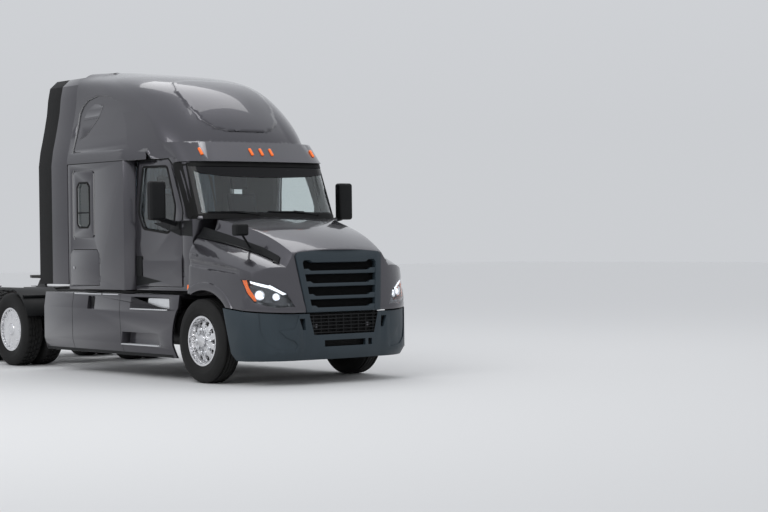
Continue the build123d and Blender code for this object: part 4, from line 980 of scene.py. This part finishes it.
def fairing_y(x, z):
    """How far out the creased side fairing lies."""
    low, high = CREASES
    if z > high:
        return FAIRING_Y - 0.028 * (z - high) / 0.192
    return FAIRING_Y - 0.045 * max(low - z, 0) / 0.164


def trim_line(name, points, width, rule, node, slot, used, proud=0.0008, depth=0.003, cuts=()):
    """A flat line laid on one flank and its mirror image."""
    obj = plate(name, sideways(stroke(points, width)))
    flank_trim(obj, rule, proud, depth, node, slot, used, cuts=cuts)


trim_line("cap_seam", [(-3.075, SEAM_Z), (-1.69, SEAM_Z)], 0.009, SLEEPER_FLANK, "sleeper_shell",
          "black_plastic", SEAM_AND_SHADE, 0.003, 0.006)
for name, low_x, high_x in (("front", -1.78, -1.85), ("rear", -3.02, -3.03)):
    trim_line(f"fairing_seam_{name}", [(low_x, 0.275), (high_x, 1.03)], 0.007, fairing_y, "side_fairings",
              "black_plastic", SEAM_AND_SHADE, cuts=CREASES)
trim_line("fairing_skirt", [(-3.76, 0.29), (-0.64, 0.29)], 0.036, fairing_y, "side_fairings",
          "black_plastic", BLACK, 0.002, 0.006)
# Two pale alloy strips along the fairing's top edge: a painted highlight where the edge catches the light.
for name, x0, x1 in (("long", -3.0, -2.32), ("short", -2.28, -1.9)):
    trim_line(f"fairing_top_strip_{name}", [(x0, 1.024), (x1, 1.024)], 0.012, fairing_y, "side_fairings",
              "alloy", TREADPLATE, 0.003, 0.004)
latch = plate("fairing_latch", sideways([(-2.6, 0.86), (-2.6, 0.975), (-2.5, 0.975), (-2.5, 0.86)]), 0.012)
flank_trim(latch, flat_at(1.16), 0, 0.02, "side_fairings", "black_plastic", BLACK, 0.003)
PORT = [(-2.82, 1.93), (-2.77, 1.885), (-2.57, 1.885), (-2.52, 1.93), (-2.52, 2.4), (-2.57, 2.45),
        (-2.77, 2.45), (-2.82, 2.4)]
port_seal = ring_plate("sleeper_window_seal", sideways(grown(PORT, 0.018)), 0.024, 0.01)
flank_trim(port_seal, SLEEPER_FLANK, 0.007, 0.008, "sleeper_shell", "black_plastic", RUBBER, 0.002)
window_bar = plate("sleeper_window_bar", sideways(stroke([(-2.82, 2.07), (-2.52, 2.07)], 0.016)))
flank_trim(window_bar, flat_at(1.212), 0, 0.01, "sleeper_shell", "black_plastic", BLACK)
lock = bar("luggage_lock", at(-2.93, 1.219, 1.36), at(-2.93, 1.224, 1.36), 0.018, 24)
stepped(lock, looks_left, (0.004, -0.002), (0.005, 0.002))
on_both_sides(lock, "luggage_door_{}", "alloy", STEEL)

# Step treads: two rows of raised grips on each
GRIP_PITCH = 0.045
grip = bar("grip", at(0, 0, 0), at(0, 0, 0.004), 0.011, 10, 0.007)
rows = []
for x0, x1, z in ((-1.54, -0.73, 0.857), (-1.76, -0.92, 0.412)):
    count = round((x1 - x0) / GRIP_PITCH)
    for i in range(count + 1):
        rows += [Matrix.Translation((x0 + (x1 - x0) * i / count, y, z)) for y in (1.17, 1.2)]
on_both_sides(repeated(grip, "tread_grips", rows), "treads_and_deck", "tread_alloy", TREADPLATE)

# Mirror glasses: main and wide-angle panes on the housings' rear faces
for name, low, high in (("main", (-0.6405, 1.335, 2.12), (-0.6435, 1.5, 2.375)),
                        ("wide", (-0.6405, 1.335, 1.975), (-0.6435, 1.5, 2.095))):
    pane = block(f"mirror_pane_{name}", at(*low), at(*high))
    stepped(pane, looks_back, (0.006, 0.001))
    bevel(pane, 0.001, 1)
    on_both_sides(pane, "mirror_{}", "alloy", MIRROR)
pane = block("hood_mirror_pane", at(0.5445, -1.085, 1.765), at(0.542, -0.955, 1.855))
stepped(pane, looks_back, (0.005, 0.0008))
seated(pane, "bonnet", "alloy", MIRROR)


# Chassis details: rail bolts, air tanks and brake chambers
BOLT_RADIUS = 0.013
BOLT_PITCH = 0.13
RAIL_TAIL_X = -6.95
bolt_xs = [RAIL_TAIL_X + BOLT_PITCH * i for i in range(61)]
bolt_places = [(x, 0.43, z) for x in bolt_xs if (x < -3.5 or x > -2.15) and x < 0.8 for z in (0.82, 0.99)]
bolt = bar("bolt", at(0, -0.001, 0), at(0, BOLT_RADIUS * 0.8, 0), BOLT_RADIUS, 6)
rail_bolts = repeated(bolt, "rail_bolts", [Matrix.Translation(place) for place in bolt_places])
on_both_sides(rail_bolts, "frame_rails", "frame_black", CHASSIS)
STRAP_WIDTH = 0.03
for name, x0, x1 in (("front", -4.25, -3.75), ("rear", -6.9, -6.55)):
    pieces = [bar(f"air_tank_{name}", at(x0, 0, 0.87), at(x1, 0, 0.87), 0.105, 40)]
    stepped(pieces[0], lambda c, n: abs(n.x) > 0.9, (0.03, 0.018), (0.03, 0.008))
    smooth(pieces[0], 40)
    for share in (0.2, 0.75):
        x = x0 + (x1 - x0) * share
        pieces.append(bar("strap", at(x, 0, 0.87), at(x + STRAP_WIDTH, 0, 0.87), 0.108, 40))
        pieces.append(block("hanger", at(x, -0.02, 0.97), at(x + STRAP_WIDTH, 0.02, 1.0)))
    seated(joined(pieces, f"air_tank_{name}"), "chassis", "frame_black", CHASSIS)
chambers = []
for order in ("one", "two"):
    x = middle(f"drive_rims_{order}_left").x - AXLE_X
    can = bar("chamber", at(x + 0.13, 0.5, 0.6), at(x + 0.33, 0.5, 0.66), 0.085, 32)
    stepped(can, lambda c, n: abs(n.x) > 0.8, (0.02, 0.02), (0.03, 0.006))
    clamp = bar("clamp", at(x + 0.215, 0.5, 0.6255), at(x + 0.245, 0.5, 0.6345), 0.092, 32)
    rod = bar("push_rod", at(x + 0.02, 0.5, 0.565), at(x + 0.14, 0.5, 0.602), 0.014, 16)
    chambers += [can, clamp, rod]
chambers = joined(chambers, "brake_chambers")
smooth(chambers, 40)
on_both_sides(chambers, "driveline", "frame_black", CHASSIS)

# Tail lamps: two round red lenses on each side
lens_ring = bar("tail_lens", at(-7.029, 0.48, 0.875), at(-7.0298, 0.48, 0.875), 0.034, 32)
stepped(lens_ring, looks_back, (0.006, 0), (0.004, -0.001))
lens_two = copied(lens_ring, "tail_lens_two", Matrix.Translation((0, 0.09, 0)))
on_both_sides(joined([lens_ring, lens_two], "tail_lenses"), "fixed_lamps", "lamp_amber", RED)

# Fifth wheel: the release handle
handle = bar("release_handle", at(-5.28, 0.36, 1.165), at(-5.28, 0.62, 1.165), 0.008, 16)
grip_end = bar("release_grip", at(-5.28, 0.62, 1.165), at(-5.24, 0.66, 1.165), 0.008, 16)
handle = joined([handle, grip_end], "release_handle")
smooth(handle, 40)
seated(handle, body_of_node["fifth_wheel_plate"], "frame_black", STEEL)

# Back wall of the sleeper: pressed ribs and a work lamp
BACK_X = -3.08
rib = block("wall_rib", at(BACK_X - 0.008, -1.0, 1.3), at(BACK_X, 1.0, 1.36))
ribs = repeated(rib, "back_wall_ribs", [Matrix.Translation((0, 0, dz)) for dz in (0, 0.3, 0.6, 0.9, 1.2)])
bevel(ribs, 0.006, 3)
seated(ribs, "chassis", "body_paint", PAINT)
work_lamp = block("work_lamp", at(BACK_X - 0.045, 0.62, 2.5), at(BACK_X, 0.78, 2.6))
stepped(work_lamp, looks_back, (0.01, 0), (0.004, -0.006))
bevel(work_lamp, 0.004, 2)
work_lamp_glass = [face.center.x < at(BACK_X - 0.036, 0, 0).x and face.normal.x < -0.9
                   for face in work_lamp.data.polygons]
work_lamp.data.polygons.foreach_set("material_index", [int(v) for v in work_lamp_glass])
seated(work_lamp, "chassis", "black_plastic", BLACK, LED)

# Cabin: instrument pod, dials and screen on the dashboard, and arm rests on the doors
pod = block("instrument_pod", at(-0.80, 0.28, 1.79), at(-0.62, 0.76, 1.95))
bevel(pod, 0.03, 4)
stepped(pod, lambda c, n: n.x < -0.95, (0.016, 0), (0.004, -0.02))
seated(pod, "chassis", "cabin_plastic", TRIM)
dial = bar("dial", at(-0.783, 0.41, 1.868), at(-0.789, 0.41, 1.868), 0.05, 40)
stepped(dial, looks_back, (0.006, 0), (0.003, -0.003))
dials = repeated(dial, "dials", [Matrix.Translation((0, dy, 0)) for dy in (0, 0.22)])
seated(dials, "chassis", "cabin_plastic", SLATE)
centre_screen = block("centre_screen", at(-0.775, -0.16, 1.76), at(-0.745, 0.16, 1.93))
bevel(centre_screen, 0.008, 3)
stepped(centre_screen, lambda c, n: n.x < -0.95, (0.01, -0.002))
seated(centre_screen, "chassis", "cabin_plastic", GLOSS)
rest = block("door_arm_rest", at(-1.5, 1.0, 1.56), at(-0.95, 1.03, 1.62))
bevel(rest, 0.012, 4)
on_both_sides(rest, "door_{}", "cabin_plastic", TRIM)

# Seats and bunk: padded pieces swelled as cloth, then pressed with channels
SWELL_CAP = 0.022
SWELL_STEPS = 20
SWELL_PRESSURE = 4


def cushioned(name, low, high, corner, voxel, channels=(), lean=None):
    """A crowned cushion in the space between two corners. Channels are sewn lines across axis 0 or 1."""
    low, high = Vector(low), Vector(high)
    shrink = Vector((0.014, 0.014, 0.012))
    obj = block(name, low + shrink, high - shrink)
    bevel(obj, corner, 4)
    with_modifier(obj, "REMESH", mode="VOXEL", voxel_size=voxel)
    rest = [vertex.co.copy() for vertex in obj.data.vertices]
    pick(obj)
    cloth = obj.modifiers.new("swell", "CLOTH")
    cloth.settings.use_pressure = True
    cloth.settings.uniform_pressure_force = SWELL_PRESSURE
    cloth.settings.effector_weights.gravity = 0
    for step in range(1, SWELL_STEPS + 1):
        bpy.context.scene.frame_set(step)
    bpy.ops.object.modifier_apply(modifier=cloth.name)
    bpy.context.scene.frame_set(1)
    for vertex, start in zip(obj.data.vertices, rest):
        move = vertex.co - start
        if move.length > SWELL_CAP:
            vertex.co = start + move * (SWELL_CAP / move.length)
    for axis, place, half, deep in channels:
        for vertex in obj.data.vertices:
            gap = abs(vertex.co[axis] - place)
            if gap < half:
                vertex.co.z -= deep * (1 - gap / half) ** 2 if vertex.co.z > (low.z + high.z) / 2 else 0
    for vertex in obj.data.vertices:
        vertex.co = Vector([min(max(v, a), b) for v, a, b in zip(vertex.co, low, high)])
    if lean:
        bent(obj, lean)
    smooth(obj, 180)
    return obj


def leaned_back(foot, height, run):
    """Lays a cushion's top edge back by run over its height, from a foot line."""
    return lambda co: Vector((co.x + run * (co.z - foot) / height, co.y, co.z))


SEAT_Y = 0.56
# Each part of a seat: name, two corners, corner radius, mesh size, channels and lean
SEAT_PARTS = (
    ("seat_cushion", (-1.6, -0.25, 1.56), (-1.07, 0.25, 1.69), 0.03, 0.009,
     [(1, 0.13, 0.02, 0.01), (1, -0.13, 0.02, 0.01), (0, -1.45, 0.02, 0.008)], None),
    ("seat_back", (-1.62, -0.24, 1.692), (-1.5, 0.24, 2.33), 0.03, 0.009,
     [], leaned_back(1.692, 0.64, -0.13)),
    ("seat_head", (-1.752, -0.14, 2.345), (-1.672, 0.14, 2.53), 0.025, 0.007,
     [], leaned_back(2.345, 0.19, -0.02)))
for name, low, high, corner, voxel, channels, lean in SEAT_PARTS:
    first = at(*low) + Vector((0, SEAT_Y, 0))
    last = at(*high) + Vector((0, SEAT_Y, 0))
    moved = [(axis, place + (SEAT_Y if axis else AXLE_X), half, deep) for axis, place, half, deep in channels]
    pad = cushioned(name, first, last, corner, voxel, moved, lean)
    for piece in on_both_sides(pad, "seats", "seat_fabric", FABRIC):
        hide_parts("seats")
pedestal = block("seat_pedestal", at(-1.56, SEAT_Y - 0.18, 1.126), at(-1.14, SEAT_Y + 0.18, 1.555))
stepped(pedestal, lambda c, n: abs(n.z) < 0.5, (0.03, -0.015))
bevel(pedestal, 0.006, 2)
on_both_sides(pedestal, "seats", "cabin_plastic", TRIM)
mattress = cushioned("bunk_mattress", at(-2.948, -1.138, 1.702), at(-2.13, 1.138, 1.85), 0.04, 0.014,
                     [(1, y, 0.03, 0.012) for y in (-0.75, -0.37, 0, 0.37, 0.75)])
seated(mattress, "chassis", "seat_fabric", CURTAIN)
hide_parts("bunk")
bunk_base = block("bunk_base", at(-2.948, -1.158, 1.6), at(-2.12, 1.158, 1.698))
stepped(bunk_base, looks_ahead, (0.02, -0.006))
bevel(bunk_base, 0.006, 2)
seated(bunk_base, "chassis", "cabin_plastic", LINING)

# Sleeper curtain, hung in folds behind the seats
CURTAIN_X, CURTAIN_LOW, CURTAIN_HIGH = -1.86, 1.2, 2.62
CURTAIN_LEFT, CURTAIN_RIGHT = 0.25, -1.05
CURTAIN_COLUMNS, CURTAIN_ROWS = 260, 14
FOLDS, FOLD_DEPTH = 13, 0.035


def curtain_place(across, height):
    """A point of the curtain, from 0 to 1 across and from its hem up to its rail."""
    depth = FOLD_DEPTH * (1 - 0.45 * height) * (1 + 0.3 * math.sin(3.1 * across * FOLDS))
    phase = 2 * math.pi * FOLDS * across + 0.5 * math.sin(5 * across + 2 * height)
    sway = 0.012 * math.sin(7 * across + 1.5 * height) * (1 - height)
    return at(CURTAIN_X + depth * math.sin(phase) + sway,
              CURTAIN_LEFT + (CURTAIN_RIGHT - CURTAIN_LEFT) * across + 0.006 * math.sin(2 * phase),
              CURTAIN_LOW + (CURTAIN_HIGH - CURTAIN_LOW) * height)


pick()
bpy.ops.mesh.primitive_grid_add(x_subdivisions=CURTAIN_COLUMNS, y_subdivisions=CURTAIN_ROWS, size=1,
                                location=(0.5, 0.5, 0))
curtain = settle(bpy.context.object, "sleeper_curtain")
bent(curtain, lambda co: curtain_place(co.x, co.y))
face_out(curtain, (1, 0, 0))
smooth(curtain, 180)
seated(curtain, "chassis", "seat_fabric", CURTAIN)
rail = bar("curtain_rail", at(CURTAIN_X, -1.13, 2.632), at(CURTAIN_X, 1.13, 2.632), 0.011, 16)
stepped(rail, lambda c, n: abs(n.y) > 0.9, (0.003, 0.004))
smooth(rail, 40)
seated(rail, "chassis", "alloy", STEEL)

# Floor, sky, light and camera
FLOOR_COLOUR = (0.74, 0.74, 0.735)


def pale_floor():
    """A dull, even grey."""
    mat = bpy.data.materials.new("pale_floor")
    mat.use_nodes = True
    shader = mat.node_tree.nodes["Principled BSDF"]
    shader.inputs["Base Color"].default_value = (*FLOOR_COLOUR, 1)
    shader.inputs["Roughness"].default_value = 0.9
    return mat


pick()
bpy.ops.mesh.primitive_plane_add(size=160, location=(0, 0, -0.001))
floor = settle(bpy.context.object, "floor")
floor.data.materials.append(pale_floor())


def studio_sky():
    """A pale wall that grows brighter overhead."""
    world = bpy.context.scene.world or bpy.data.worlds.new("studio")
    bpy.context.scene.world = world
    world.use_nodes = True
    tree = world.node_tree
    sky = tree.nodes["Background"]
    place = tree.nodes.new("ShaderNodeTexCoord")
    height = tree.nodes.new("ShaderNodeSeparateXYZ")
    tones = tree.nodes.new("ShaderNodeValToRGB")
    tree.links.new(place.outputs["Generated"], height.inputs["Vector"])
    tree.links.new(height.outputs["Z"], tones.inputs["Fac"])
    tree.links.new(tones.outputs["Color"], sky.inputs["Color"])
    tones.color_ramp.elements[0].position = 0.06
    tones.color_ramp.elements[0].color = (0.6, 0.615, 0.64, 1)
    tones.color_ramp.elements[1].position = 0.75
    tones.color_ramp.elements[1].color = (0.8, 0.82, 0.86, 1)
    sky.inputs["Strength"].default_value = 1.0


studio_sky()


def lamp(name, place, target, size, power):
    """A flat lamp that shines from a place to a target."""
    light = bpy.data.lights.new(name, "AREA")
    light.shape = "RECTANGLE"
    light.size, light.size_y = size
    light.energy = power
    obj = bpy.data.objects.new(name, light)
    bpy.context.scene.collection.objects.link(obj)
    obj.location = place
    obj.rotation_euler = (Vector(target) - Vector(place)).to_track_quat("-Z", "Y").to_euler()


lamp("key", (6, -10, 9), (1, 0, 1.5), (8, 5), 380)
lamp("top", (-2, 3, 12), (-1, 0, 2), (9, 5), 260)

# The camera stands where the photographer stood
PHOTO_WIDTH_PX = 768
FOCAL_PX = 1873.33
STAND = at(18.639, -13.378, 1.6635)
YAW, PITCH, ROLL = math.radians(141.1997), math.radians(-0.4707), math.radians(-0.6891)
ahead = Vector((math.cos(YAW) * math.cos(PITCH), math.sin(YAW) * math.cos(PITCH), math.sin(PITCH)))
right = Vector((math.sin(YAW), -math.cos(YAW), 0))
up = right.cross(ahead)
right, up = right * math.cos(ROLL) + up * math.sin(ROLL), up * math.cos(ROLL) - right * math.sin(ROLL)
lens = bpy.data.cameras.new("camera")
lens.sensor_width = 36
lens.lens = FOCAL_PX / PHOTO_WIDTH_PX * lens.sensor_width
lens.clip_end = 300
camera = bpy.data.objects.new("camera", lens)
bpy.context.scene.collection.objects.link(camera)
camera.matrix_world = Matrix.Translation(STAND) @ Matrix((right, up, -ahead)).transposed().to_4x4()
bpy.context.scene.camera = camera
bpy.context.scene.view_settings.view_transform = "Standard"
